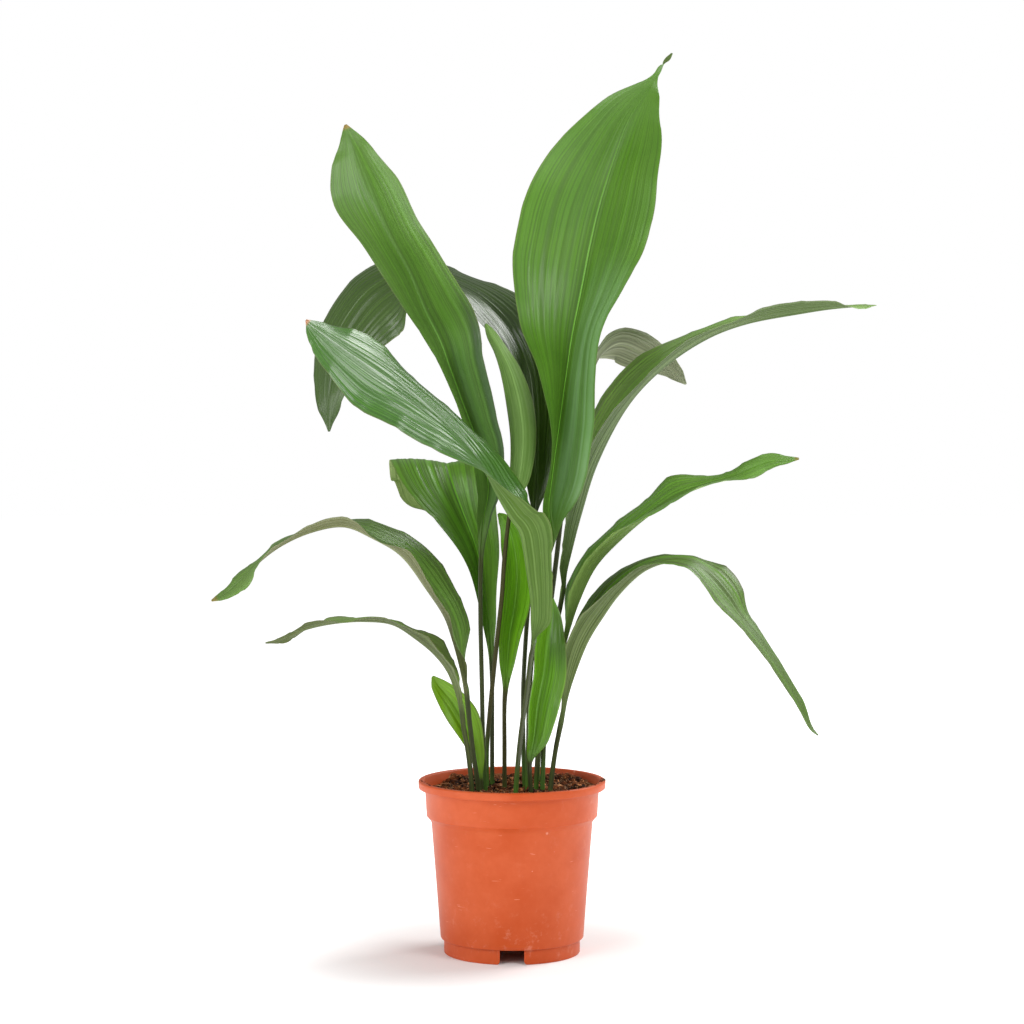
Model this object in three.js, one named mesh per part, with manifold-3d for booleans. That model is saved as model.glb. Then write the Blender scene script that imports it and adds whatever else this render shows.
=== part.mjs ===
// A cast iron plant (Aspidistra elatior) in a round plastic nursery pot.
// Millimetres, +Z up, the pot's axis first at the origin, -Y the side that is seen first.
import * as THREE from 'three';
import { mergeVertices } from 'three/addons/utils/BufferGeometryUtils.js';
import Module from 'manifold-3d';

const wasm = await Module();
wasm.setup();

// The pot: a 149 mm nursery pot with a rolled lip, a wider collar and a notched foot ring.
const RIM_R = 74.5;
const POT_HEIGHT = 138;
const WALL = 1.6;
const COLLAR_TOP_R = 69.2;
const COLLAR_BOTTOM_R = 68;
const COLLAR_BOTTOM_Z = 110;
const BODY_TOP_R = 64.2;
const BODY_BOTTOM_R = 57;
const STEP_HEIGHT = 5.2;
const FOOT_R = 54.2;
const FOOT_HEIGHT = 11.5;
const FOOT_WIDTH = 2.6;
const FLOOR_UNDERSIDE = 12.5;
const FLOOR_TOP = 14.5;
const LIP_BOTTOM = POT_HEIGHT - 6.6;
const POT_SIDES = 60;
const NOTCHES = 3;
const NOTCH_WIDTH = 19;
const NOTCH_CORNER_R = 3;
const DRAIN_HOLES = 6;
const DRAIN_HOLE_R = 4.5;
const DRAIN_CIRCLE_R = 36;

// The soil: crumbly, lower in the middle and heaped towards the wall.
const GAP = 0.3;
const SOIL_LEVEL = 128;
const SOIL_RINGS = 7;
const CRUMB_HEIGHT = 0.7;
const SOIL_HEAPS = [
  { x: 44, y: 40, radius: 24, height: 7.5 },
  { x: -38, y: 38, radius: 20, height: 6.5 },
  { x: 2, y: 52, radius: 24, height: 4 },
  { x: 54, y: -6, radius: 20, height: 5 },
  { x: -50, y: -16, radius: 20, height: 3 },
  { x: 4, y: -54, radius: 26, height: 2 },
];

// The leaves: each is one grown piece, a round stalk that widens into a blade.
const STALK_R = 1.8;
const STALK_DEPTH = 16;
const BLADE_HALF_THICKNESS = 0.45;
const FLESHY_PART = 0.25;
const NARROWEST_HALF = 0.6;
const RING_POINTS = 8;
const FINE_STEPS = 8;
const RING_EVERY = 4;
const CLOSE_RING_EVERY = 2;

// stalk rows are [x, y, z] up the stalk from the soil. blade rows are
// [x, y, z, half, turn, fold] up the midrib: half is the width from the midrib to a margin,
// turn is how far the upper side is turned about the midrib from facing -Y, and fold is how
// far each half rises from flat towards the upper side, both in degrees.
const LEAVES = {
  leaf_tall_right: {
    stalk: [[12, 6, 129], [13, 7, 169], [14, 8, 209], [19, 10, 264], [26, 11, 304]],
    blade: [
      [32, 12, 327, 3, 20, 50], [29, 14, 352, 20, 25, 52], [32, 16, 379, 30, 29, 55],
      [37, 19, 415, 35, 20, 58], [43, 22, 458, 40, -1, 55], [48, 26, 491, 49, -18, 46],
      [56, 31, 530, 58.5, -23, 33], [62, 35, 561, 60, -21, 26], [70, 40, 595, 58.5, -18, 26],
      [82, 46, 633, 47, -10, 32], [95, 52, 666, 28.5, 2, 25], [109, 56, 688, 11, 10, 20],
      [116, 58, 700, 3, 40, 0], [122, 59, 709, 6, 90, 0], [129, 60, 718, 1, 130, 0],
    ],
  },
  leaf_tall_left: {
    stalk: [[-21, -4, 129], [-23, -1, 170], [-24, 0, 217], [-25, 2, 265], [-25, 4, 301]],
    blade: [
      [-24, 6, 325, 3, 0, 30], [-22, 8, 348, 10, 0, 54], [-19, 10, 367, 17, 3, 56],
      [-23, 13, 396, 26, 12, 60], [-33, 15, 421, 32, 18, 64], [-49, 18, 464, 38, 20, 61],
      [-57, 20, 486, 40, 22, 53], [-69, 23, 510, 41, 18, 53], [-82, 26, 541, 38, 9, 51],
      [-97, 29, 569, 33.5, 5, 44], [-112, 32, 604, 34.5, -10, 36], [-123, 34, 633, 22, -16, 34],
      [-130, 35, 650, 8, 0, 30], [-133, 36, 659, 1, 0, 0],
    ],
  },
  leaf_front: {
    stalk: [[3, -24, 129], [6, -27, 167], [9, -29, 192], [12, -31, 213], [15, -33, 239]],
    blade: [
      [17, -34, 252, 3, 80, 20], [16, -36, 267, 19, 90, 40], [15, -39, 285, 28, 91, 33],
      [12, -42, 304, 34, 92, 33], [9, -46, 324, 38, 94, 33], [6, -48, 338, 39, 95, 31],
      [-2, -51, 350, 40, 90, 31], [-11, -54, 366, 38, 88, 24], [-24, -60, 391, 35.5, 79, 11],
      [-44, -66, 416, 35, 69, -3], [-66, -72, 436, 37, 62, -12], [-84, -77, 450, 36.5, 54, -15],
      [-105, -82, 465, 36, 45, -17], [-127, -87, 480, 27, 42, -15], [-142, -90, 491, 17, 44, -18],
      [-152, -92, 498, 7, 44, -10], [-156, -93, 502, 1, 44, 0],
    ],
  },
  leaf_back_left: {
    stalk: [[10, 18, 129], [9, 22, 167], [9, 26, 206], [11, 31, 246], [14, 37, 286], [16, 43, 326]],
    blade: [
      [18, 46, 349, 3, 10, 30], [19, 48, 370, 13, 10, 45], [19, 52, 399, 22, 10, 45],
      [18, 57, 431, 29, 10, 40], [14, 63, 463, 29, 15, 35], [2, 71, 490, 29, 28, 25],
      [-13, 80, 509, 32, 48, 12], [-34, 88, 526, 38, 70, 5], [-59, 94, 536, 43, 74, 0],
      [-86, 100, 535, 49, 62, -5], [-110, 104, 523, 46, 46, -8], [-129, 106, 502, 39, 40, -8],
      [-143, 105, 475, 33, 42, -5], [-150, 103, 445, 18, 40, 0], [-151, 102, 425, 7, 30, 0],
      [-151, 101, 412, 1, 30, 0],
    ],
  },
  leaf_middle: {
    stalk: [
      [-20, 9, 129], [-20, 7, 162], [-18, 5, 188], [-15, 3, 219], [-12, 0, 248],
      [-8, -5, 285], [-6, -8, 314], [-2, -10, 349],
    ],
    blade: [
      [1, -10, 363, 4, 180, 30], [6, -10, 379, 13, 180, 50], [9, -8, 408, 16, 180, 50],
      [6, -5, 437, 16, 180, 48], [-1, -1, 462, 12, 180, 45], [-9, 3, 479, 7.5, 180, 40],
      [-16, 6, 491, 5, 180, 30], [-21, 8, 500, 1, 180, 0],
    ],
  },
  leaf_long_right: {
    stalk: [[24, 0, 129], [25, 7, 161], [26, 12, 184], [30, 17, 216], [34, 22, 251], [38, 25, 271]],
    blade: [
      [41, 27, 287, 3, -90, 20], [43, 29, 300, 8, -92, 30], [48, 33, 319, 16, -95, 28],
      [56, 39, 348, 28, -88, 28], [69, 45, 388, 38, -84, 26], [95, 50, 436, 41, -80, 18],
      [124, 52, 466, 38, -82, 17], [159, 50, 489, 34, -88, 15], [188, 46, 500, 30, -90, 14],
      [223, 40, 507, 26, -102, 10], [255, 34, 512, 20, -98, 8], [277, 30, 514, 10, -80, 0],
      [291, 28, 515, 1, -80, 0],
    ],
  },
  leaf_back_right: {
    stalk: [[20, 26, 129], [23, 36, 181], [28, 49, 245], [36, 63, 309], [42, 74, 357]],
    blade: [
      [49, 83, 393, 3, -70, 30], [56, 89, 426, 14, -70, 35], [64, 94, 455, 22, -78, 25],
      [74, 98, 476, 27, -98, 5], [89, 101, 485, 27, -122, -5], [107, 105, 479, 23, -133, -5],
      [123, 107, 469, 15, -135, 0], [136, 108, 459, 8, -140, 0], [144, 109, 451, 1, -140, 0],
    ],
  },
  leaf_mid_right: {
    stalk: [[19, 2, 129], [20, 2, 153], [23, 2, 185], [29, 4, 213], [36, 8, 234]],
    blade: [
      [41, 11, 245, 3, -90, 20], [46, 13, 259, 9, -95, 25], [53, 14, 278, 20, -87, 27],
      [67, 12, 307, 29, -86, 25], [89, 8, 331, 29, -88, 20], [110, 4, 349, 27, -84, 15],
      [131, 0, 363, 30, -76, 12], [155, -4, 373, 22, -82, 10], [174, -7, 379, 13, -72, 5],
      [190, -9, 387, 9, -42, 0], [205, -10, 392, 7, -42, 0], [217, -11, 393, 4, -42, 0],
      [226, -12, 394, 1, -42, 0],
    ],
  },
  leaf_low_right: {
    stalk: [[30, -12, 129], [32, -10, 147], [35, -7, 166]],
    blade: [
      [39, -3, 184, 3, -95, 20], [43, 0, 202, 6, -100, 30], [49, 3, 220, 15, -104, 32],
      [60, 5, 247, 27, -95, 31], [72, 3, 267, 33, -92, 27], [86, -2, 287, 35, -90, 21],
      [105, -8, 305, 34, -93, 12], [123, -14, 312, 33, -90, 5], [140, -19, 311, 33, -82, 3],
      [154, -23, 299, 30, -68, 10], [167, -26, 284, 25, -60, 12], [180, -29, 268, 16, -68, 8],
      [195, -32, 251, 12, -65, 0], [212, -36, 226, 10, -65, 0], [225, -40, 202, 8, -65, 0],
      [233, -42, 185, 4, -65, 0], [239, -43, 179, 1, -65, 0],
    ],
  },
  leaf_mid_left: {
    stalk: [[-26, -16, 129], [-31, -18, 166], [-34, -20, 194]],
    blade: [
      [-36, -21, 212, 3, 90, 20], [-40, -22, 229, 10, 92, 25], [-46, -24, 250, 22, 76, 25],
      [-53, -26, 270, 29, 77, 22], [-67, -29, 292, 33, 79, 20], [-87, -34, 319, 34, 84, 18],
      [-109, -40, 333, 35, 84, 12], [-130, -45, 342, 32, 97, 10], [-156, -51, 338, 26, 98, 8],
      [-180, -56, 327, 21, 88, 5], [-198, -59, 313, 17, 80, 0], [-211, -61, 300, 11, 55, 0],
      [-222, -62, 291, 6, 50, 0], [-232, -63, 286, 1, 50, 0],
    ],
  },
  leaf_low_left: {
    stalk: [[-31, -26, 129], [-34, -28, 161], [-38, -30, 185]],
    blade: [
      [-40, -31, 201, 3, 95, 20], [-45, -33, 216, 10, 90, 30], [-51, -35, 229, 17, 88, 25],
      [-61, -38, 242, 22, 88, 20], [-76, -42, 255, 21, 92, 15], [-93, -47, 266, 22, 95, 8],
      [-114, -53, 269, 23, 98, 8], [-137, -58, 268, 22, 92, 5], [-158, -63, 264, 16, 100, 5],
      [-173, -66, 258, 8, 110, 0], [-183, -68, 255, 4, 120, 0], [-190, -69, 254, 1, 120, 0],
    ],
  },
  leaf_young_left: {
    stalk: [[-24, -9, 129]],
    blade: [
      [-26, -9, 141, 3, 15, 20], [-29, -8, 161, 8, 15, 35], [-38, -7, 185, 14, 15, 30],
      [-48, -6, 202, 12, 5, 25], [-59, -5, 215, 6, 0, 15], [-63, -4, 221, 1, 0, 0],
    ],
  },
  leaf_folded_left: {
    carried: true,
    stalk: [[-16, 26, 129], [-16, 27, 159], [-16, 28, 185], [-16, 29, 214]],
    blade: [
      [-17, 31, 238, 3, 0, 35], [-19, 33, 262, 9, 5, 50], [-23, 35, 286, 16, 10, 57],
      [-28, 38, 317, 26, 8, 52], [-40, 43, 350, 33, 8, 36], [-46, 46, 366, 40, 10, 24],
      [-50, 51, 378, 44, 13, 14], [-52, 58, 385, 46, 16, 6], [-53, 67, 387, 47, 17, 3],
      [-54, 76, 381, 46, 15, 4], [-54, 80, 371, 44, 8.5, 8], [-56, 82, 357, 37, 1, 8],
      [-57, 83, 347, 22, -2, 5], [-58, 83, 342, 1, 0, 0],
    ],
  },
  leaf_young_middle: {
    stalk: [[-6, 14, 129], [-6, 14, 161], [-6, 14, 196]],
    blade: [
      [-5, 14, 212, 3, 0, 30], [-4, 14, 230, 8, 0, 40], [-2, 14, 252, 13, 2, 48],
      [2, 15, 276, 17, 5, 50], [4, 16, 300, 17, 5, 48], [2, 16, 322, 14, 0, 40],
      [-2, 17, 337, 9, 0, 30], [-7, 17, 345, 5, 0, 20], [-11, 17, 349, 1, 0, 0],
    ],
  },
  leaf_young_right: {
    stalk: [[15, -14, 129], [14, -14, 146]],
    blade: [
      [14, -14, 156, 3, 20, 30], [17, -14, 173, 13, 23, 45], [20, -13, 199, 18, 23, 43],
      [25, -11, 225, 19, 23, 41], [28, -8, 250, 15, 15, 35], [31, -5, 270, 8, 10, 20],
      [32, -3, 283, 1, 0, 0],
    ],
  },
};

function plastic(color) {
  return new THREE.MeshStandardMaterial({ color, roughness: 0.55, metalness: 0 });
}

function earth() {
  return new THREE.MeshStandardMaterial({ color: 0x4a3222, roughness: 0.95, metalness: 0 });
}

function leafGreen(name) {
  const color = name.includes('young') ? 0x6a9a2a : 0x4f7a38;
  return new THREE.MeshStandardMaterial({ color, roughness: 0.45, metalness: 0 });
}

// A closed geometry as a manifold solid, and a solid as a flat-shaded geometry.
function toSolid(geometry) {
  const bare = geometry.clone();
  bare.deleteAttribute('normal');
  bare.deleteAttribute('uv');
  const merged = mergeVertices(bare, 1e-4);
  const mesh = new wasm.Mesh({
    numProp: 3,
    vertProperties: new Float32Array(merged.attributes.position.array),
    triVerts: new Uint32Array(merged.index.array),
  });
  return new wasm.Manifold(mesh);
}

function toGeometry(solid) {
  const mesh = solid.getMesh();
  const geometry = new THREE.BufferGeometry();
  geometry.setAttribute('position', new THREE.BufferAttribute(mesh.vertProperties, mesh.numProp));
  geometry.setIndex(new THREE.BufferAttribute(mesh.triVerts, 1));
  geometry.computeVertexNormals();
  return geometry;
}

function part(name, geometry, material) {
  const mesh = new THREE.Mesh(geometry, material);
  mesh.name = name;
  return mesh;
}

// A closed skin over rings of equal length, with a fan at each end. The first and second half
// of a ring are split along mirrored diagonals, so that the two sides of a thin twisted sheet
// stay the same distance apart.
function skin(rings) {
  const count = rings[0].length;
  const positions = rings.flat().flatMap((p) => [p.x, p.y, p.z]);
  const index = [];
  for (let i = 0; i < rings.length - 1; i += 1) {
    for (let j = 0; j < count; j += 1) {
      const a = i * count + j;
      const b = i * count + ((j + 1) % count);
      if (j < count / 2) index.push(a, b, a + count, b, b + count, a + count);
      else index.push(a, b, b + count, a, b + count, a + count);
    }
  }
  addCap(positions, index, rings[0], 0, true);
  addCap(positions, index, rings.at(-1), (rings.length - 1) * count, false);
  const geometry = new THREE.BufferGeometry();
  geometry.setAttribute('position', new THREE.Float32BufferAttribute(positions, 3));
  geometry.setIndex(index);
  geometry.computeVertexNormals();
  return geometry;
}

function addCap(positions, index, ring, first, reversed) {
  const middle = new THREE.Vector3();
  ring.forEach((p) => middle.addScaledVector(p, 1 / ring.length));
  const centre = positions.length / 3;
  positions.push(middle.x, middle.y, middle.z);
  for (let j = 0; j < ring.length; j += 1) {
    const a = first + j;
    const b = first + ((j + 1) % ring.length);
    if (reversed) index.push(centre, b, a);
    else index.push(centre, a, b);
  }
}

// ---- pot

function potOutside() {
  return [
    [FOOT_R - FOOT_WIDTH, 0.4],
    [FOOT_R - FOOT_WIDTH + 0.4, 0],
    [FOOT_R - 0.5, 0],
    [FOOT_R - 0.1, 0.6],
    [FOOT_R, FOOT_HEIGHT],
    [BODY_BOTTOM_R - 0.6, FOOT_HEIGHT + 0.4],
    [BODY_BOTTOM_R, FOOT_HEIGHT + 1.4],
    [BODY_TOP_R, COLLAR_BOTTOM_Z - STEP_HEIGHT],
    [BODY_TOP_R + 1.2, COLLAR_BOTTOM_Z - 2.4],
    [COLLAR_BOTTOM_R, COLLAR_BOTTOM_Z],
    [COLLAR_TOP_R, LIP_BOTTOM],
    [RIM_R - 1.8, LIP_BOTTOM + 0.5],
    [RIM_R - 0.4, LIP_BOTTOM + 1.8],
    [RIM_R, LIP_BOTTOM + 3.4],
    [RIM_R - 0.5, POT_HEIGHT - 1.2],
    [RIM_R - 1.6, POT_HEIGHT - 0.2],
    [RIM_R - 2.4, POT_HEIGHT],
  ];
}

function potInside() {
  return [
    [COLLAR_TOP_R + 2, POT_HEIGHT - 0.4],
    [COLLAR_TOP_R, POT_HEIGHT - 2.4],
    [COLLAR_TOP_R - WALL, LIP_BOTTOM],
    [COLLAR_BOTTOM_R - WALL, COLLAR_BOTTOM_Z + 1],
    [BODY_TOP_R - WALL, COLLAR_BOTTOM_Z - STEP_HEIGHT],
    [BODY_BOTTOM_R - WALL, FLOOR_TOP + 3],
    [BODY_BOTTOM_R - WALL - 3, FLOOR_TOP],
  ];
}

function notch(angle) {
  const half = NOTCH_WIDTH / 2;
  const r = NOTCH_CORNER_R;
  const shape = new THREE.Shape();
  shape.moveTo(-half - r, -1);
  shape.lineTo(-half - r, 0);
  shape.absarc(-half - r, r, r, -Math.PI / 2, 0, false);
  shape.lineTo(-half, FOOT_HEIGHT);
  shape.lineTo(half, FOOT_HEIGHT);
  shape.absarc(half + r, r, r, Math.PI, 1.5 * Math.PI, false);
  shape.lineTo(half + r, -1);
  const cut = new THREE.ExtrudeGeometry(shape, { depth: 16, bevelEnabled: false, curveSegments: 4 });
  cut.rotateX(Math.PI / 2);
  cut.translate(0, -FOOT_R + 9, 0);
  cut.rotateZ(angle);
  return cut;
}

function drainHole(angle) {
  const cut = new THREE.CylinderGeometry(DRAIN_HOLE_R, DRAIN_HOLE_R, 8, 20);
  cut.rotateX(Math.PI / 2);
  cut.translate(DRAIN_CIRCLE_R, 0, (FLOOR_UNDERSIDE + FLOOR_TOP) / 2);
  cut.rotateZ(angle);
  return cut;
}

function pot() {
  const profile = [[0, FLOOR_UNDERSIDE], [FOOT_R - FOOT_WIDTH, FLOOR_UNDERSIDE]]
    .concat(potOutside(), potInside(), [[0, FLOOR_TOP]])
    .map(([r, z]) => new THREE.Vector2(r, z));
  const turned = new THREE.LatheGeometry(profile, POT_SIDES);
  turned.rotateX(Math.PI / 2);
  let solid = toSolid(turned);
  for (let i = 0; i < NOTCHES; i += 1) {
    solid = solid.subtract(toSolid(notch((i * 2 * Math.PI) / NOTCHES)));
  }
  for (let i = 0; i < DRAIN_HOLES; i += 1) {
    solid = solid.subtract(toSolid(drainHole(((i + 0.5) * 2 * Math.PI) / DRAIN_HOLES)));
  }
  return part('pot', toGeometry(solid), plastic(0xe06b43));
}

// ---- leaves

function stations(leaf) {
  const [x, y, z] = leaf.stalk[0];
  const firstTurn = leaf.blade[0][4];
  const stalk = [[x, y, z - STALK_DEPTH], ...leaf.stalk];
  const rows = stalk.map((p) => [...p, STALK_R, firstTurn, 0]).concat(leaf.blade);
  const path = new THREE.CatmullRomCurve3(rows.map((r) => new THREE.Vector3(r[0], r[1], r[2])));
  const values = rows.map((r) => new THREE.Vector3(r[3], r[4], r[5]));
  const shape = new THREE.CatmullRomCurve3(values, false, 'catmullrom', 0.5);
  return { path, shape, last: rows.length - 1, bladeStart: stalk.length };
}

// Fine steps along the midrib. The upper side is measured from facing -Y; where the midrib
// itself runs along Y it is carried on from the step before.
function frames(leaf) {
  const { path, shape, last, bladeStart } = stations(leaf);
  const steps = [];
  const normal = new THREE.Vector3(0, -1, 0);
  for (let i = 0; i <= last * FINE_STEPS; i += 1) {
    const t = i / (last * FINE_STEPS);
    const tangent = path.getTangent(t);
    if (!leaf.carried) normal.set(0, -1, 0);
    normal.addScaledVector(tangent, -normal.dot(tangent)).normalize();
    const [half, turn, fold] = shape.getPoint(t).toArray();
    const along = Math.max(0, (t * last - bladeStart) / (last - bladeStart));
    steps.push({ point: path.getPoint(t), tangent, normal: normal.clone(), half, turn, fold, along });
  }
  return steps;
}

// One cross-section: round in the stalk, a thin folded lens in the blade, fleshy near the stalk.
function ring(step, grow) {
  const up = step.normal.clone().applyAxisAngle(step.tangent, THREE.MathUtils.degToRad(step.turn));
  const right = new THREE.Vector3().crossVectors(step.tangent, up);
  const fold = THREE.MathUtils.degToRad(step.fold);
  const half = Math.max(step.half, NARROWEST_HALF);
  const base = Math.max(0, 1 - step.along / FLESHY_PART) ** 2;
  const full = BLADE_HALF_THICKNESS + (STALK_R - BLADE_HALF_THICKNESS) * base;
  const thick = Math.min(full, half);
  const points = [];
  for (let j = 0; j < RING_POINTS; j += 1) {
    const angle = (-j / RING_POINTS) * 2 * Math.PI;
    const across = (half + grow) * Math.cos(angle);
    const lift = Math.abs(half * Math.cos(angle)) * Math.sin(fold);
    const point = step.point.clone();
    point.addScaledVector(right, across * Math.cos(fold));
    point.addScaledVector(up, lift + (thick + grow) * Math.sin(angle));
    points.push(point);
  }
  return points;
}

// A leaf that bends over tightly has its rings closer together.
function leafGeometry(leaf) {
  const every = leaf.carried ? CLOSE_RING_EVERY : RING_EVERY;
  const steps = frames(leaf).filter((step, i) => i % every === 0);
  return skin(steps.map((step) => ring(step, 0)));
}

function leafSocket(leaf) {
  const every = leaf.carried ? CLOSE_RING_EVERY : RING_EVERY;
  const steps = frames(leaf).slice(0, 2 * FINE_STEPS + 1);
  const rings = steps.filter((step, i) => i % every === 0).map((step) => ring(step, GAP));
  rings[0].forEach((p) => {
    p.z -= GAP;
  });
  return skin(rings);
}

// ---- soil

function soilTop(x, y) {
  let z = SOIL_LEVEL;
  for (const heap of SOIL_HEAPS) {
    const near = ((x - heap.x) ** 2 + (y - heap.y) ** 2) / heap.radius ** 2;
    z += heap.height * Math.exp(-near);
  }
  const crumbs = Math.sin(x * 0.55) * Math.sin(y * 0.61) + Math.sin(x * 0.23 + y * 0.31);
  return z + CRUMB_HEIGHT * crumbs;
}

function soilRing(radius, height) {
  const points = [];
  for (let j = 0; j < POT_SIDES; j += 1) {
    const angle = (j / POT_SIDES) * 2 * Math.PI;
    const x = radius * Math.cos(angle);
    const y = radius * Math.sin(angle);
    points.push(new THREE.Vector3(x, y, height ?? soilTop(x, y)));
  }
  return points;
}

function soil() {
  const side = GAP / Math.cos(Math.PI / POT_SIDES);
  const edge = COLLAR_TOP_R - WALL - side - 0.4;
  const rings = [
    soilRing(1, FLOOR_TOP + GAP),
    soilRing(BODY_BOTTOM_R - WALL - 3 - side, FLOOR_TOP + GAP),
    soilRing(BODY_BOTTOM_R - WALL - side, FLOOR_TOP + 3),
    soilRing(BODY_TOP_R - WALL - side, COLLAR_BOTTOM_Z - STEP_HEIGHT),
    soilRing(COLLAR_BOTTOM_R - WALL - side, COLLAR_BOTTOM_Z + 1 + GAP),
  ];
  for (let i = 0; i <= SOIL_RINGS; i += 1) {
    rings.push(soilRing(edge * (1 - i / (SOIL_RINGS + 0.5))));
  }
  let solid = toSolid(skin(rings));
  for (const leaf of Object.values(LEAVES)) {
    solid = solid.subtract(toSolid(leafSocket(leaf)));
  }
  return part('soil', toGeometry(solid), earth());
}

// ---- the whole plant, moved so that the origin is under the middle of its box

const plant = new THREE.Group();
plant.add(pot(), soil());
for (const [name, leaf] of Object.entries(LEAVES)) {
  plant.add(part(name, leafGeometry(leaf), leafGreen(name)));
}
const box = new THREE.Box3().setFromObject(plant);
plant.position.set(-Math.round((box.min.x + box.max.x) / 2), -Math.round((box.min.y + box.max.y) / 2), 0);

export default plant;
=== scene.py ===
"""The looks of a potted cast iron plant: ribbed strap leaves, a nursery pot and its soil."""
import math

import bmesh
import bpy
import numpy as np
from mathutils import Matrix, Vector, noise


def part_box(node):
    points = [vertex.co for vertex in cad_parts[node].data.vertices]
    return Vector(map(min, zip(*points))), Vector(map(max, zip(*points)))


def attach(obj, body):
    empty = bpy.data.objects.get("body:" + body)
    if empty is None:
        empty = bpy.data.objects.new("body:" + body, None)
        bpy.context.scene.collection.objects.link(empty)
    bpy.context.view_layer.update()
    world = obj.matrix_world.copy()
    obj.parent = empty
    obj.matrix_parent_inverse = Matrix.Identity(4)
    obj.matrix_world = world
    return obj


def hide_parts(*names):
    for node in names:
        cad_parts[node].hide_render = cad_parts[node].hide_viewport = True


bl_info = {
    "name": "Potted Cast Iron Plant",
    "version": (1, 0, 0),
    "blender": (4, 5, 0),
    "location": "3D View > Sidebar > Plant",
    "description": "Leaves, pot, soil and studio for a potted cast iron plant",
    "category": "Object",
}

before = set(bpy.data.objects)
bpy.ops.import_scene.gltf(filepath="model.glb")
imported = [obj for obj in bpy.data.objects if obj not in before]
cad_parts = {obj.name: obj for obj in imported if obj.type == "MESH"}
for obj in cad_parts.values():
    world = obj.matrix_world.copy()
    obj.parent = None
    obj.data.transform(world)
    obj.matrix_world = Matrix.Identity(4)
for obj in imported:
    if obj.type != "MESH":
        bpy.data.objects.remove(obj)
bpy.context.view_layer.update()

MM = 0.001
POT_LOW, POT_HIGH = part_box("pot")
POT_CENTRE = Vector(((POT_LOW.x + POT_HIGH.x) / 2, (POT_LOW.y + POT_HIGH.y) / 2, 0))
RIM_R = (POT_HIGH.x - POT_LOW.x) / 2 / MM
POT_HEIGHT = POT_HIGH.z / MM

# The pot, in millimetres from its own axis and the floor. A ROUND is the radius of a rounded edge.
POT_SIDES = 240
WALL = 1.6
LIP_BOTTOM = POT_HEIGHT - 6.6
LIP_ROUND = 1.4
LIP_LOW_ROUND = 0.9
LIP_INNER_ROUND = 1.6
COLLAR_TOP_R = 69.2
COLLAR_BOTTOM_R = 68
COLLAR_BOTTOM_Z = 110
COLLAR_ROUND = 0.9
BODY_TOP_R = 64.2
BODY_BOTTOM_R = 57
BODY_TOP_Z = COLLAR_BOTTOM_Z - 5.2
BODY_ROUND = 1.2
FOOT_R = 54.2
FOOT_DRAFT = 0.1
FOOT_HEIGHT = 11.5
FOOT_WIDTH = 2.6
FOOT_INNER_ROUND = 0.5
FOOT_OUTER_ROUND = 0.7
FLOOR_UNDERSIDE = 12.5
FLOOR_TOP = 14.5
FLOOR_CORNER_R = 3
NOTCHES = 3
NOTCH_WIDTH = 19
NOTCH_CORNER_R = 3
NOTCH_CUT = 14
DRAIN_HOLES = 6
DRAIN_HOLE_R = 4.5
DRAIN_CIRCLE_R = 36
DRAIN_CUT = 8
SHARPEST_SMOOTH = math.radians(38)

# The soil, with the x, y, radius and height of each heap in its top.
SOIL_LEVEL = 128
SOIL_GAP = 0.3
SOIL_SIDES = 260
SOIL_RINGS = 62
LITTER_R = 64
SOIL_HEAPS = [
    (44, 40, 24, 7.5),
    (-38, 38, 20, 6.5),
    (2, 52, 24, 4),
    (54, -6, 20, 5),
    (-50, -16, 20, 3),
    (4, -54, 26, 2),
]

# The leaves, in millimetres: each one is a round stalk that widens into a blade.
STALK_R = 1.8
STALK_DEPTH = 16
NARROWEST_HALF = 0.6
FLARE = 8
BEND_EASE = 0.3
BEND_SHARE = 0.15
FEWEST_COLUMNS = 36
PLEAT_WIDTH = 5.5
VEIN_SPACING = 1.5
GROOVE_DEPTH = 0.45
GROOVE_WIDTH = 0.9
STEPS_PER_ROW = 8

# Places along a leaf, where the stalk runs from -1 to 0 and the blade from 0 to 1.
FOOT_END = (-0.84, -0.68)
BLADE_START = (-0.12, 0.10)
FLESHY_PART = 0.25
DRY_TIP = (0.955, 0.985)

# The studio floor, in metres: half its width, and how far from the pot its glow begins and is full.
STUDIO_HALF = 6.0
GLOW_START = 0.075
GLOW_FULL = 0.28

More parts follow.
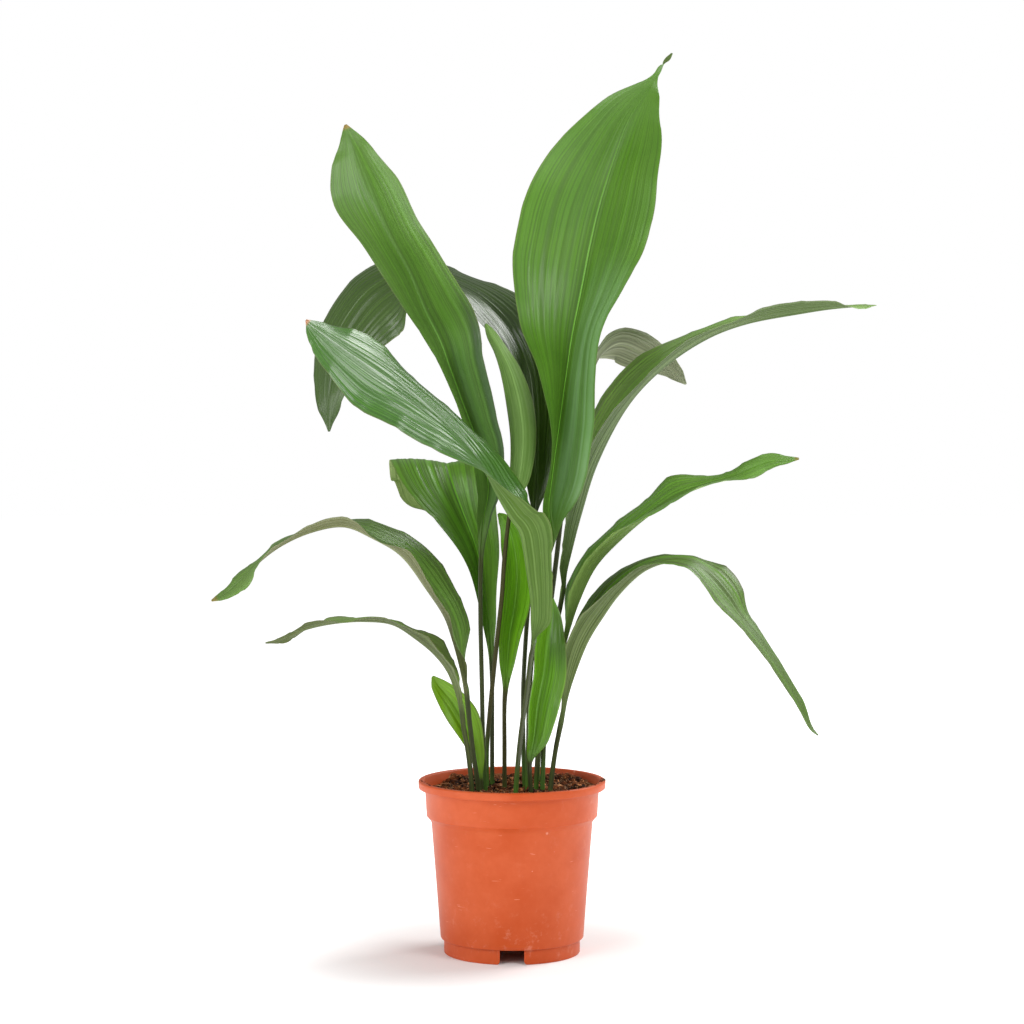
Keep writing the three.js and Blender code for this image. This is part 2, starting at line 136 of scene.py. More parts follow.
# stalk rows are (x, y, z) up the stalk from the soil. blade rows are (x, y, z, half, turn, fold)
# up the midrib: half is the width from the midrib to a margin, turn is how far the upper side
# is turned about the midrib from facing -Y, and fold is how far each half rises from flat.
# A carried leaf's turn counts from a way that faces -Y at its foot and bends with its midrib.
LEAVES = {
    "leaf_tall_right": {
        "stalk": [(12, 6, 129), (13, 7, 169), (14, 8, 209), (19, 10, 264), (26, 11, 304)],
        "blade": [
            (32, 12, 327, 3, 20, 50), (29, 14, 352, 20, 25, 52), (32, 16, 379, 30, 29, 55),
            (37, 19, 415, 35, 20, 58), (43, 22, 458, 40, -1, 55), (48, 26, 491, 49, -18, 46),
            (56, 31, 530, 58.5, -23, 33), (62, 35, 561, 60, -21, 26), (70, 40, 595, 58.5, -18, 26),
            (82, 46, 633, 47, -10, 32), (95, 52, 666, 28.5, 2, 25), (109, 56, 688, 11, 10, 20),
            (116, 58, 700, 3, 40, 0), (122, 59, 709, 6, 90, 0), (129, 60, 718, 1, 130, 0),
        ],
    },
    "leaf_tall_left": {
        "stalk": [(-21, -4, 129), (-23, -1, 170), (-24, 0, 217), (-25, 2, 265), (-25, 4, 301)],
        "blade": [
            (-24, 6, 325, 3, 0, 30), (-22, 8, 348, 10, 0, 54), (-19, 10, 367, 17, 3, 56),
            (-23, 13, 396, 26, 12, 60), (-33, 15, 421, 32, 18, 64), (-49, 18, 464, 38, 20, 61),
            (-57, 20, 486, 40, 22, 53), (-69, 23, 510, 41, 18, 53), (-82, 26, 541, 38, 9, 51),
            (-97, 29, 569, 33.5, 5, 44), (-112, 32, 604, 34.5, -10, 36), (-123, 34, 633, 22, -16, 34),
            (-130, 35, 650, 8, 0, 30), (-133, 36, 659, 1, 0, 0),
        ],
    },
    "leaf_front": {
        "stalk": [(3, -24, 129), (6, -27, 167), (9, -29, 192), (12, -31, 213), (15, -33, 239)],
        "blade": [
            (17, -34, 252, 3, 80, 20), (16, -36, 267, 19, 90, 40), (15, -39, 285, 28, 91, 33),
            (12, -42, 304, 34, 92, 33), (9, -46, 324, 38, 94, 33), (6, -48, 338, 39, 95, 31),
            (-2, -51, 350, 40, 90, 31), (-11, -54, 366, 38, 88, 24), (-24, -60, 391, 35.5, 79, 11),
            (-44, -66, 416, 35, 69, -3), (-66, -72, 436, 37, 62, -12), (-84, -77, 450, 36.5, 54, -15),
            (-105, -82, 465, 36, 45, -17), (-127, -87, 480, 27, 42, -15), (-142, -90, 491, 17, 44, -18),
            (-152, -92, 498, 7, 44, -10), (-156, -93, 502, 1, 44, 0),
        ],
    },
    "leaf_back_left": {
        "stalk": [(10, 18, 129), (9, 22, 167), (9, 26, 206), (11, 31, 246), (14, 37, 286), (16, 43, 326)],
        "blade": [
            (18, 46, 349, 3, 10, 30), (19, 48, 370, 13, 10, 45), (19, 52, 399, 22, 10, 45),
            (18, 57, 431, 29, 10, 40), (14, 63, 463, 29, 15, 35), (2, 71, 490, 29, 28, 25),
            (-13, 80, 509, 32, 48, 12), (-34, 88, 526, 38, 70, 5), (-59, 94, 536, 43, 74, 0),
            (-86, 100, 535, 49, 62, -5), (-110, 104, 523, 46, 46, -8), (-129, 106, 502, 39, 40, -8),
            (-143, 105, 475, 33, 42, -5), (-150, 103, 445, 18, 40, 0), (-151, 102, 425, 7, 30, 0),
            (-151, 101, 412, 1, 30, 0),
        ],
    },
    "leaf_middle": {
        "stalk": [
            (-20, 9, 129), (-20, 7, 162), (-18, 5, 188), (-15, 3, 219), (-12, 0, 248),
            (-8, -5, 285), (-6, -8, 314), (-2, -10, 349),
        ],
        "blade": [
            (1, -10, 363, 4, 180, 30), (6, -10, 379, 13, 180, 50), (9, -8, 408, 16, 180, 50),
            (6, -5, 437, 16, 180, 48), (-1, -1, 462, 12, 180, 45), (-9, 3, 479, 7.5, 180, 40),
            (-16, 6, 491, 5, 180, 30), (-21, 8, 500, 1, 180, 0),
        ],
    },
    "leaf_long_right": {
        "stalk": [(24, 0, 129), (25, 7, 161), (26, 12, 184), (30, 17, 216), (34, 22, 251), (38, 25, 271)],
        "blade": [
            (41, 27, 287, 3, -90, 20), (43, 29, 300, 8, -92, 30), (48, 33, 319, 16, -95, 28),
            (56, 39, 348, 28, -88, 28), (69, 45, 388, 38, -84, 26), (95, 50, 436, 41, -80, 18),
            (124, 52, 466, 38, -82, 17), (159, 50, 489, 34, -88, 15), (188, 46, 500, 30, -90, 14),
            (223, 40, 507, 26, -102, 10), (255, 34, 512, 20, -98, 8), (277, 30, 514, 10, -80, 0),
            (291, 28, 515, 1, -80, 0),
        ],
    },
    "leaf_back_right": {
        "stalk": [(20, 26, 129), (23, 36, 181), (28, 49, 245), (36, 63, 309), (42, 74, 357)],
        "blade": [
            (49, 83, 393, 3, -70, 30), (56, 89, 426, 14, -70, 35), (64, 94, 455, 22, -78, 25),
            (74, 98, 476, 27, -98, 5), (89, 101, 485, 27, -122, -5), (107, 105, 479, 23, -133, -5),
            (123, 107, 469, 15, -135, 0), (136, 108, 459, 8, -140, 0), (144, 109, 451, 1, -140, 0),
        ],
    },
    "leaf_mid_right": {
        "stalk": [(19, 2, 129), (20, 2, 153), (23, 2, 185), (29, 4, 213), (36, 8, 234)],
        "blade": [
            (41, 11, 245, 3, -90, 20), (46, 13, 259, 9, -95, 25), (53, 14, 278, 20, -87, 27),
            (67, 12, 307, 29, -86, 25), (89, 8, 331, 29, -88, 20), (110, 4, 349, 27, -84, 15),
            (131, 0, 363, 30, -76, 12), (155, -4, 373, 22, -82, 10), (174, -7, 379, 13, -72, 5),
            (190, -9, 387, 9, -42, 0), (205, -10, 392, 7, -42, 0), (217, -11, 393, 4, -42, 0),
            (226, -12, 394, 1, -42, 0),
        ],
    },
    "leaf_low_right": {
        "stalk": [(30, -12, 129), (32, -10, 147), (35, -7, 166)],
        "blade": [
            (39, -3, 184, 3, -95, 20), (43, 0, 202, 6, -100, 30), (49, 3, 220, 15, -104, 32),
            (60, 5, 247, 27, -95, 31), (72, 3, 267, 33, -92, 27), (86, -2, 287, 35, -90, 21),
            (105, -8, 305, 34, -93, 12), (123, -14, 312, 33, -90, 5), (140, -19, 311, 33, -82, 3),
            (154, -23, 299, 30, -68, 10), (167, -26, 284, 25, -60, 12), (180, -29, 268, 16, -68, 8),
            (195, -32, 251, 12, -65, 0), (212, -36, 226, 10, -65, 0), (225, -40, 202, 8, -65, 0),
            (233, -42, 185, 4, -65, 0), (239, -43, 179, 1, -65, 0),
        ],
    },
    "leaf_mid_left": {
        "stalk": [(-26, -16, 129), (-31, -18, 166), (-34, -20, 194)],
        "blade": [
            (-36, -21, 212, 3, 90, 20), (-40, -22, 229, 10, 92, 25), (-46, -24, 250, 22, 76, 25),
            (-53, -26, 270, 29, 77, 22), (-67, -29, 292, 33, 79, 20), (-87, -34, 319, 34, 84, 18),
            (-109, -40, 333, 35, 84, 12), (-130, -45, 342, 32, 97, 10), (-156, -51, 338, 26, 98, 8),
            (-180, -56, 327, 21, 88, 5), (-198, -59, 313, 17, 80, 0), (-211, -61, 300, 11, 55, 0),
            (-222, -62, 291, 6, 50, 0), (-232, -63, 286, 1, 50, 0),
        ],
    },
    "leaf_low_left": {
        "stalk": [(-31, -26, 129), (-34, -28, 161), (-38, -30, 185)],
        "blade": [
            (-40, -31, 201, 3, 95, 20), (-45, -33, 216, 10, 90, 30), (-51, -35, 229, 17, 88, 25),
            (-61, -38, 242, 22, 88, 20), (-76, -42, 255, 21, 92, 15), (-93, -47, 266, 22, 95, 8),
            (-114, -53, 269, 23, 98, 8), (-137, -58, 268, 22, 92, 5), (-158, -63, 264, 16, 100, 5),
            (-173, -66, 258, 8, 110, 0), (-183, -68, 255, 4, 120, 0), (-190, -69, 254, 1, 120, 0),
        ],
    },
    "leaf_young_left": {
        "stalk": [(-24, -9, 129)],
        "blade": [
            (-26, -9, 141, 3, 15, 20), (-29, -8, 161, 8, 15, 35), (-38, -7, 185, 14, 15, 30),
            (-48, -6, 202, 12, 5, 25), (-59, -5, 215, 6, 0, 15), (-63, -4, 221, 1, 0, 0),
        ],
    },
    "leaf_folded_left": {
        "carried": True,
        "stalk": [(-16, 26, 129), (-16, 27, 159), (-16, 28, 185), (-16, 29, 214)],
        "blade": [
            (-17, 31, 238, 3, 0, 35), (-19, 33, 262, 9, 5, 50), (-23, 35, 286, 16, 10, 57),
            (-28, 38, 317, 26, 8, 52), (-40, 43, 350, 33, 8, 36), (-46, 46, 366, 40, 10, 24),
            (-50, 51, 378, 44, 13, 14), (-52, 58, 385, 46, 16, 6), (-53, 67, 387, 47, 17, 3),
            (-54, 76, 381, 46, 15, 4), (-54, 80, 371, 44, 8.5, 8), (-56, 82, 357, 37, 1, 8),
            (-57, 83, 347, 22, -2, 5), (-58, 83, 342, 1, 0, 0),
        ],
    },
    "leaf_young_middle": {
        "stalk": [(-6, 14, 129), (-6, 14, 161), (-6, 14, 196)],
        "blade": [
            (-5, 14, 212, 3, 0, 30), (-4, 14, 230, 8, 0, 40), (-2, 14, 252, 13, 2, 48),
            (2, 15, 276, 17, 5, 50), (4, 16, 300, 17, 5, 48), (2, 16, 322, 14, 0, 40),
            (-2, 17, 337, 9, 0, 30), (-7, 17, 345, 5, 0, 20), (-11, 17, 349, 1, 0, 0),
        ],
    },
    "leaf_young_right": {
        "stalk": [(15, -14, 129), (14, -14, 146)],
        "blade": [
            (14, -14, 156, 3, 20, 30), (17, -14, 173, 13, 23, 45), (20, -13, 199, 18, 23, 43),
            (25, -11, 225, 19, 23, 41), (28, -8, 250, 15, 15, 35), (31, -5, 270, 8, 10, 20),
            (32, -3, 283, 1, 0, 0),
        ],
    },
}

# Each leaf's looks: colours as linear red, green and blue, pleat in millimetres (the height of
# the folds along the blade), ribs (how strongly the fine veins show), gloss (the roughness of
# the upper side), coat (its waxy shine), tip (how much of the tip has dried brown), wave in
# millimetres (of the margins), dark (a patch of painted shade: its strength, where it starts
# across, and its start and end along the blade) and how strong the painted pale sheen low on
# one side is.
MATURE = {
    "upper": (0.100, 0.228, 0.028), "under": (0.112, 0.190, 0.030), "stalk": (0.036, 0.050, 0.004),
    "foot": (0.055, 0.150, 0.005), "midrib": (0.160, 0.480, 0.012), "pleat": 0.35, "ribs": 1.0,
    "gloss": 0.34, "coat": 0.10, "tip": 0.0, "wave": 1.6, "dark": (0.0, 0.5, 0.0, 1.0),
    "painted_sheen": 0.0,
}
# The upper and under colours of one kind of leaf differ from leaf to leaf partly as painted light and shade:
# each leaf's colours were scaled to how bright that leaf looks where it sits, so the paler ones carry painted
# light and the darker ones painted shade.
LOOKS = {
    "leaf_tall_right": {
        "upper": (0.086, 0.206, 0.016), "pleat": 0.28, "gloss": 0.38, "ribs": 0.65, "painted_sheen": 0.5,
    },
    "leaf_tall_left": {
        "upper": (0.124, 0.240, 0.045), "tip": 0.5, "pleat": 0.25, "dark": (0.85, 0.82, 0.0, 0.5),
        "painted_sheen": 0.25,
    },
    "leaf_front": {
        "upper": (0.058, 0.190, 0.013), "under": (0.120, 0.245, 0.022), "pleat": 0.6, "tip": 1.0,
        "gloss": 0.32, "coat": 0.65, "midrib": (0.100, 0.260, 0.030), "ribs": 1.5,
    },
    # Its dark upper colour is partly painted shade, for a leaf that sits in shade at the back.
    "leaf_back_left": {
        "upper": (0.048, 0.112, 0.004), "under": (0.072, 0.125, 0.018), "pleat": 0.6, "gloss": 0.34,
        "midrib": (0.070, 0.130, 0.020), "coat": 0.4, "ribs": 1.5,
    },
    "leaf_middle": {"stalk": (0.055, 0.052, 0.008), "under": (0.176, 0.340, 0.062)},
    "leaf_long_right": {
        "upper": (0.320, 0.510, 0.130), "under": (0.095, 0.175, 0.020), "pleat": 0.5, "ribs": 1.6,
    },
    "leaf_back_right": {"under": (0.440, 0.480, 0.300), "pleat": 1.4, "ribs": 2.0, "wave": 0.8},
    # Its pale underside colour is partly painted light, lifting an underside that lies in shade.
    "leaf_mid_right": {
        "upper": (0.166, 0.330, 0.056), "under": (0.330, 0.540, 0.110), "pleat": 0.5, "tip": 0.4,
        "ribs": 1.4,
    },
    "leaf_low_right": {
        "upper": (0.090, 0.145, 0.016), "under": (0.080, 0.135, 0.006), "pleat": 0.6, "ribs": 1.6,
        "coat": 0.0, "gloss": 0.42, "wave": 1.0,
    },
    "leaf_mid_left": {
        "upper": (0.150, 0.250, 0.057), "under": (0.230, 0.245, 0.088), "pleat": 0.5, "tip": 0.4,
        "ribs": 1.4,
    },
    "leaf_low_left": {
        "upper": (0.290, 0.420, 0.110), "under": (0.100, 0.145, 0.014), "pleat": 0.5, "ribs": 1.8,
    },
    "leaf_young_left": {
        "upper": (0.200, 0.400, 0.003), "under": (0.150, 0.300, 0.012), "foot": (0.030, 0.070, 0.008),
        "pleat": 0.3, "ribs": 1.2, "wave": 0.3, "midrib": (0.160, 0.400, 0.010), "coat": 0.0,
    },
    "leaf_folded_left": {
        "upper": (0.138, 0.296, 0.030), "under": (0.340, 0.480, 0.150), "tip": 0.6, "ribs": 1.5,
        "wave": 0.8,
    },
    "leaf_young_middle": {
        "upper": (0.190, 0.470, 0.014), "under": (0.140, 0.300, 0.020), "pleat": 0.5, "ribs": 1.5,
        "stalk": (0.065, 0.062, 0.008), "wave": 0.4, "midrib": (0.180, 0.460, 0.020), "coat": 0.0,
    },
    "leaf_young_right": {
        "upper": (0.122, 0.325, 0.002), "under": (0.130, 0.290, 0.020), "pleat": 0.5, "ribs": 1.6,
        "dark": (0.45, 0.52, 0.55, 0.88), "wave": 0.4, "midrib": (0.120, 0.320, 0.010), "coat": 0.25,
    },
}

# Colours that all the leaves share.
PALE_SHEEN = (0.30, 0.50, 0.26)
PALE_VEIN = (0.30, 0.36, 0.19)
PALE_FLECK = (0.42, 0.50, 0.30)
MOTTLE = (0.16, 0.26, 0.05)
MARGIN_BROWN = (0.19, 0.17, 0.07)
TIP_BROWN = (0.45, 0.17, 0.05)

# The groups that the leaves are made in.
GROUPS = {
    "tall": ["leaf_tall_right", "leaf_tall_left", "leaf_front", "leaf_back_left", "leaf_middle"],
    "arching": [
        "leaf_long_right", "leaf_back_right", "leaf_mid_right", "leaf_low_right",
        "leaf_mid_left", "leaf_low_left", "leaf_folded_left",
    ],
    "young": ["leaf_young_left", "leaf_young_middle", "leaf_young_right"],
}


# ---- meshes

def make_piece(name, points, faces, material):
    """A mesh object of points in millimetres from the pot's axis."""
    mesh = bpy.data.meshes.new(name)
    placed = np.asarray(points) * MM + np.array(POT_CENTRE)
    mesh.from_pydata(placed.tolist(), [], faces)
    mesh.validate()
    mesh.materials.append(material)
    mesh.polygons.foreach_set("use_smooth", np.ones(len(mesh.polygons), dtype=bool))
    piece = bpy.data.objects.new(name, mesh)
    bpy.context.scene.collection.objects.link(piece)
    return piece


def grid_faces(rows, columns):
    """Quads between rows of points, where each row is a closed ring."""
    faces = []
    for i in range(rows - 1):
        for j in range(columns):
            k = (j + 1) % columns
            faces.append((i * columns + j, i * columns + k, (i + 1) * columns + k, (i + 1) * columns + j))
    return faces


def tube_faces(rows, columns):
    """The faces of a tube of rows of points, with a flat face on each end."""
    faces = grid_faces(rows, columns)
    faces.append(tuple(reversed(range(columns))))
    faces.append(tuple(range((rows - 1) * columns, rows * columns)))
    return faces


def close_ends(points, faces, sides, low, high):
    """Closes a grid's first and last rows with fans to two points on the axis."""
    tip, last = len(points), len(points) - sides
    points += [(0, 0, low), (0, 0, high)]
    for j in range(sides):
        k = (j + 1) % sides
        faces.append((tip, k, j))
        faces.append((tip + 1, last + j, last + k))


def ring_across(middle, heading, radius, sides):
    """Points round a place, square to a level heading."""
    side = np.array((-math.sin(heading), math.cos(heading), 0))
    up = np.array((0, 0, 1))
    angles = [j / sides * 2 * math.pi for j in range(sides)]
    return [middle + radius * (side * math.cos(a) + up * math.sin(a)) for a in angles]


def hermite(before, start, end, after, weight, centripetal):
    """A point and its direction between start and end, on a Catmull-Rom curve."""
    if centripetal:
        spans = [np.sum((b - a) ** 2) ** 0.25 for a, b in ((before, start), (start, end), (end, after))]
        first, middle, last = spans
        leave = (start - before) / first - (end - before) / (first + middle) + (end - start) / middle
        reach = (end - start) / middle - (after - start) / (middle + last) + (after - end) / last
        leave, reach = leave * middle, reach * middle
    else:
        leave, reach = (end - before) / 2, (after - start) / 2
    square = -3 * start + 3 * end - 2 * leave - reach
    cube = 2 * start - 2 * end + leave + reach
    point = start + leave * weight + square * weight ** 2 + cube * weight ** 3
    direction = leave + 2 * square * weight + 3 * cube * weight ** 2
    return point, direction


def curve_points(values, steps, centripetal):
    """Points and directions at equal steps from one value to the next."""
    values = np.asarray(values, float)
    ends = np.vstack([2 * values[0] - values[1], values, 2 * values[-1] - values[-2]])
    points, directions = [], []
    for i in range((len(values) - 1) * steps + 1):
        k = min(i // steps, len(values) - 2)
        point, direction = hermite(*ends[k:k + 4], i / steps - k, centripetal)
        points.append(point)
        directions.append(direction)
    return np.array(points), np.array(directions)


def leaf_stations(leaf):
    """The midrib's points, tangents and upper-side normals, with half, turn, fold and place."""
    x, y, z = leaf["stalk"][0]
    first_turn = leaf["blade"][0][4]
    stalk = [(x, y, z - STALK_DEPTH)] + leaf["stalk"]
    rows = [(*p, STALK_R, first_turn, 0) for p in stalk] + leaf["blade"]
    rows = np.array(rows, float)
    points, tangents = curve_points(rows[:, :3], STEPS_PER_ROW, True)
    shape, _ = curve_points(rows[:, 3:], STEPS_PER_ROW, False)
    tangents /= np.linalg.norm(tangents, axis=1)[:, None]
    normals = []
    normal = np.array((0.0, -1.0, 0.0))
    for tangent in tangents:
        if not leaf.get("carried"):
            normal = np.array((0.0, -1.0, 0.0))
        normal = normal - tangent * (normal @ tangent)
        normal /= np.linalg.norm(normal)
        normals.append(normal)
    step = np.arange(len(points)) / STEPS_PER_ROW
    stalk_rows, blade_rows = len(stalk), len(rows) - 1 - len(stalk)
    place = np.where(step < stalk_rows, step / stalk_rows - 1, (step - stalk_rows) / blade_rows)
    return points, tangents, np.array(normals), shape, place


def pleats(across, place, half, widest, look, rng):
    """The height of the long folds that run beside the midrib, in millimetres."""
    count = widest / PLEAT_WIDTH
    height = np.zeros((len(place), len(across)))
    for share, strength in ((1.0, 0.5), (0.57, 0.35), (1.73, 0.3)):
        for side in (-1, 1):
            phase, drift = rng.uniform(0, 2 * math.pi, 2)
            wave = np.cos(2 * math.pi * count * share * np.abs(across)[None, :] + phase
                          + 1.5 * np.sin(2.2 * place[:, None] + drift))
            height += strength * wave * (np.sign(across) == side)[None, :]
    taper = np.clip(half / widest, 0, 1) * np.clip(place * 6, 0, 1)
    edge = (1 - np.abs(across) ** 6) * np.clip(np.abs(across) * 8, 0, 1)
    return height * look["pleat"] * taper[:, None] * edge[None, :]


def ripples(across, place, look, rng):
    """The slow waves of each margin, in millimetres."""
    height = np.zeros((len(place), len(across)))
    for side in (-1, 1):
        first, second, third = rng.uniform(0, 2 * math.pi, 3)
        slow = np.sin(2 * math.pi * 2.7 * place + first) + 0.6 * np.sin(2 * math.pi * 6.1 * place + second)
        slow += 0.5 * np.maximum(np.sin(2 * math.pi * 13 * place + third), 0) ** 3
        height += slow[:, None] * (np.abs(across) ** 3 * (np.sign(across) == side))[None, :]
    return height * look["wave"] * np.clip(place * 5, 0, 1)[:, None]


def folded(offset, half, fold):
    """How far the halves of a blade rise from flat when bent along the midrib, in millimetres."""
    ease = BEND_EASE + BEND_SHARE * half
    bend = np.sqrt(offset ** 2 + ease ** 2) - ease
    bend_at_margin = np.sqrt(half ** 2 + ease ** 2) - ease
    return bend * (half / bend_at_margin) * np.sin(fold)


def skin_heights(offset, across, along, half, blade, thickness):
    """The upper and lower skins' distances from the middle of the sheet, in millimetres."""
    rim = np.sqrt(1 - across[None, :] ** 2)
    width = np.minimum(half, STALK_R * 1.6)
    dome = np.clip(1 - (offset / width) ** 2, 0, 1) ** (0.5 + 0.5 * blade)
    stalk_top = np.clip(1 - along / FLESHY_PART, 0, 1) ** 2
    groove = GROOVE_DEPTH * np.exp(-(offset / GROOVE_WIDTH) ** 2) * (1 - 0.6 * along)
    rib = (0.1 + 0.9 * stalk_top) * (1 - 0.8 * along)
    thick = np.minimum(thickness, half) * rim
    flesh = np.minimum(STALK_R, half) * dome
    return thick + flesh * stalk_top - groove * rim, thick + flesh * rib


def leaf_mesh(name, leaf, look, thickness, material):
    """One leaf as a closed thin sheet with a rounded stalk, a raised midrib and pleats."""
    rng = np.random.default_rng(sum(map(ord, name)))
    points, tangents, normals, shape, place = leaf_stations(leaf)
    half = np.maximum(shape[:, :1], NARROWEST_HALF)
    turn, fold = np.radians(shape[:, 1:2]), np.radians(shape[:, 2:3])
    widest = half.max()
    count = int(max(FEWEST_COLUMNS, 2 * widest))
    spread = np.linspace(-1, 1, count + 1)
    across = spread * (1.35 - 0.35 * spread ** 2)  # columns lie closer together at the margins
    offset = half * across[None, :]
    blade = np.clip((half - STALK_R) / FLARE, 0, 1)
    camber = 0.2 * half * np.abs(across) * (1 - np.abs(across))
    waves = pleats(across, place, half[:, 0], widest, look, rng) + ripples(across, place, look, rng)
    lift = folded(offset, half, fold) + blade * (camber + waves)
    along = np.clip(place, 0, 1)[:, None]
    upper, lower = skin_heights(offset, across, along, half, blade, thickness)

    ups = normals * np.cos(turn) + np.cross(tangents, normals) * np.sin(turn)
    rights = np.cross(tangents, ups)
    flat = points[:, None, :] + rights[:, None, :] * (offset * np.cos(fold))[:, :, None]
    top = flat + ups[:, None, :] * (lift + upper)[:, :, None]
    base = flat + ups[:, None, :] * (lift - lower)[:, :, None]
    rings = np.concatenate([top, base[:, -2:0:-1]], axis=1)
    ring = rings.shape[1]
    piece = make_piece(
        name.replace("leaf_", "blade_"), rings.reshape(-1, 3), tube_faces(len(rings), ring), material)
    write_blade_map(piece.data, count, ring, (across + 1) / 2, place)
    return piece


def write_blade_map(mesh, count, ring, across, place):
    """A map of the place across, 0 to 1 on top and 2 to 3 below, and of the place along."""
    layer = mesh.uv_layers.new(name="Blade")
    corner = np.zeros(len(mesh.loops), dtype=int)
    mesh.loops.foreach_get("vertex_index", corner)
    row, column = corner // ring, corner % ring
    low = np.zeros(len(mesh.loops), dtype=bool)
    for polygon in mesh.polygons:
        loops = slice(polygon.loop_start, polygon.loop_start + polygon.loop_total)
        low[loops] = max(column[loops]) > count
    mirrored = np.where(column > count, ring - column, column)
    values = np.stack([across[mirrored] + 2 * low, place[row]], axis=1)
    layer.data.foreach_set("uv", values.astype(np.float32).ravel())


# ---- materials

def add_node(tree, kind, inputs=None, **settings):
    """A node with its settings, and its inputs linked or set by name or number."""
    node = tree.nodes.new(kind)
    for key, value in settings.items():
        setattr(node, key, value)
    for key, value in (inputs or {}).items():
        if isinstance(value, bpy.types.NodeSocket):
            tree.links.new(value, node.inputs[key])
        else:
            node.inputs[key].default_value = value
    return node


def calculate(tree, operation, first, second=0.0):
    return add_node(tree, "ShaderNodeMath", {0: first, 1: second}, operation=operation).outputs[0]


def times(tree, first, second):
    return calculate(tree, "MULTIPLY", first, second)


def ramp_value(tree, value, low, high, to_low=0.0, to_high=1.0):
    """A value eased from to_low at low to to_high at high."""
    node = add_node(
        tree, "ShaderNodeMapRange",
        {"Value": value, "From Min": low, "From Max": high, "To Min": to_low, "To Max": to_high},
        interpolation_type="SMOOTHSTEP")
    return node.outputs["Result"]


def blend_colours(tree, factor, first, second, mode="MIX"):
    """Mixes two colours, each a socket or three numbers."""
    colours = {}
    for key, value in ((6, first), (7, second)):
        colours[key] = value if isinstance(value, bpy.types.NodeSocket) else (*value, 1)
    node = add_node(tree, "ShaderNodeMix", data_type="RGBA", blend_type=mode)
    for key, value in ((0, factor), *colours.items()):
        if isinstance(value, bpy.types.NodeSocket):
            tree.links.new(value, node.inputs[key])
        else:
            node.inputs[key].default_value = value
    return node.outputs[2]


def tint(tree, mask, amount, base, colour, mode="MIX"):
    """A base with a colour laid over it by a mask times an amount."""
    return blend_colours(tree, times(tree, mask, amount), base, colour, mode)


def soft_noise(tree, coordinate, scale, detail=2.0, roughness=0.5):
    node = add_node(
        tree, "ShaderNodeTexNoise",
        {"Vector": coordinate, "Scale": scale, "Detail": detail, "Roughness": roughness})
    return node.outputs["Fac"]


def new_group(name, inputs, outputs):
    """A shader node group with float or vector inputs and float outputs."""
    tree = bpy.data.node_groups.new(name, "ShaderNodeTree")
    for label, kind in inputs:
        tree.interface.new_socket(label, in_out="INPUT", socket_type=kind)
    for label in outputs:
        tree.interface.new_socket(label, in_out="OUTPUT", socket_type="NodeSocketFloat")
    start = tree.nodes.new("NodeGroupInput")
    end = tree.nodes.new("NodeGroupOutput")
    return tree, start.outputs, end.inputs


def veins_group():
    """Parallel veins: fine lines, broad bands and a height, from the place across and along."""
    tree, given, result = new_group(
        "Leaf veins",
        [("Across", "NodeSocketFloat"), ("Along", "NodeSocketFloat"), ("Count", "NodeSocketFloat"),
         ("Seed", "NodeSocketFloat")],
        ["Fine", "Broad", "Height"])
    line = times(tree, given["Across"], given["Count"])
    bands = []
    for share, drift in ((1.0, 1.3), (0.16, 2.0)):
        spot = add_node(tree, "ShaderNodeCombineXYZ", {
            0: times(tree, line, share), 1: times(tree, given["Along"], drift), 2: given["Seed"]})
        bands.append(soft_noise(tree, spot.outputs[0], 1.0, 1.0))
    fine, broad = bands
    comb = calculate(tree, "ABSOLUTE", calculate(tree, "SINE", times(tree, line, math.pi)))
    sharp = calculate(tree, "POWER", comb, 6.0)
    tree.links.new(ramp_value(tree, fine, 0.36, 0.62), result["Fine"])
    tree.links.new(ramp_value(tree, broad, 0.3, 0.7), result["Broad"])
    tree.links.new(calculate(tree, "ADD", times(tree, sharp, 0.3), fine), result["Height"])
    return tree


def patches_group():
    """Uneven patches and small pale flecks, from a place in metres."""
    tree, given, result = new_group(
        "Patches and flecks",
        [("Place", "NodeSocketVector"), ("Patch size", "NodeSocketFloat"), ("Fleck size", "NodeSocketFloat")],
        ["Patch", "Fleck"])
    per_patch = calculate(tree, "DIVIDE", 1.0, given["Patch size"])
    per_fleck = calculate(tree, "DIVIDE", 0.12, given["Fleck size"])
    patch = soft_noise(tree, given["Place"], per_patch, 4.0, 0.6)
    cells = add_node(tree, "ShaderNodeTexVoronoi", {"Vector": given["Place"], "Scale": per_fleck})
    chosen = calculate(tree, "GREATER_THAN", cells.outputs["Color"], 0.86)
    dot = ramp_value(tree, cells.outputs["Distance"], 0.05, 0.10, 1.0, 0.0)
    tree.links.new(ramp_value(tree, patch, 0.3, 0.7), result["Patch"])
    tree.links.new(times(tree, chosen, dot), result["Fleck"])
    return tree


def effect(tree, name, maker, inputs):
    """A shared effect placed in a material, made the first time that it is asked for."""
    group = bpy.data.node_groups.get(name) or maker()
    return add_node(tree, "ShaderNodeGroup", inputs, node_tree=group).outputs


def new_material(name):
    material = bpy.data.materials.new(name)
    material.use_nodes = True
    tree = material.node_tree
    return material, tree, tree.nodes["Principled BSDF"]


def object_place(tree):
    return add_node(tree, "ShaderNodeTexCoord").outputs["Object"]


def add_bump(tree, shader, height, strength, distance):
    bump = add_node(
        tree, "ShaderNodeBump", {"Height": height, "Strength": strength, "Distance": distance})
    tree.links.new(bump.outputs["Normal"], shader.inputs["Normal"])


def darker(colour, share):
    return tuple(c * share for c in colour)


def towards(colour, other, share):
    return tuple(a + (b - a) * share for a, b in zip(colour, other))


def part_of_blade(tree, across, along, side, start, end):
    """1 past a place across the blade and from start to end along it, eased to 0 around that."""
    here = times(tree, ramp_value(tree, across, side, side + 0.09),
                 ramp_value(tree, along, start - 0.08, start + 0.08))
    return times(tree, here, ramp_value(tree, along, end - 0.08, end + 0.08, 1.0, 0.0))


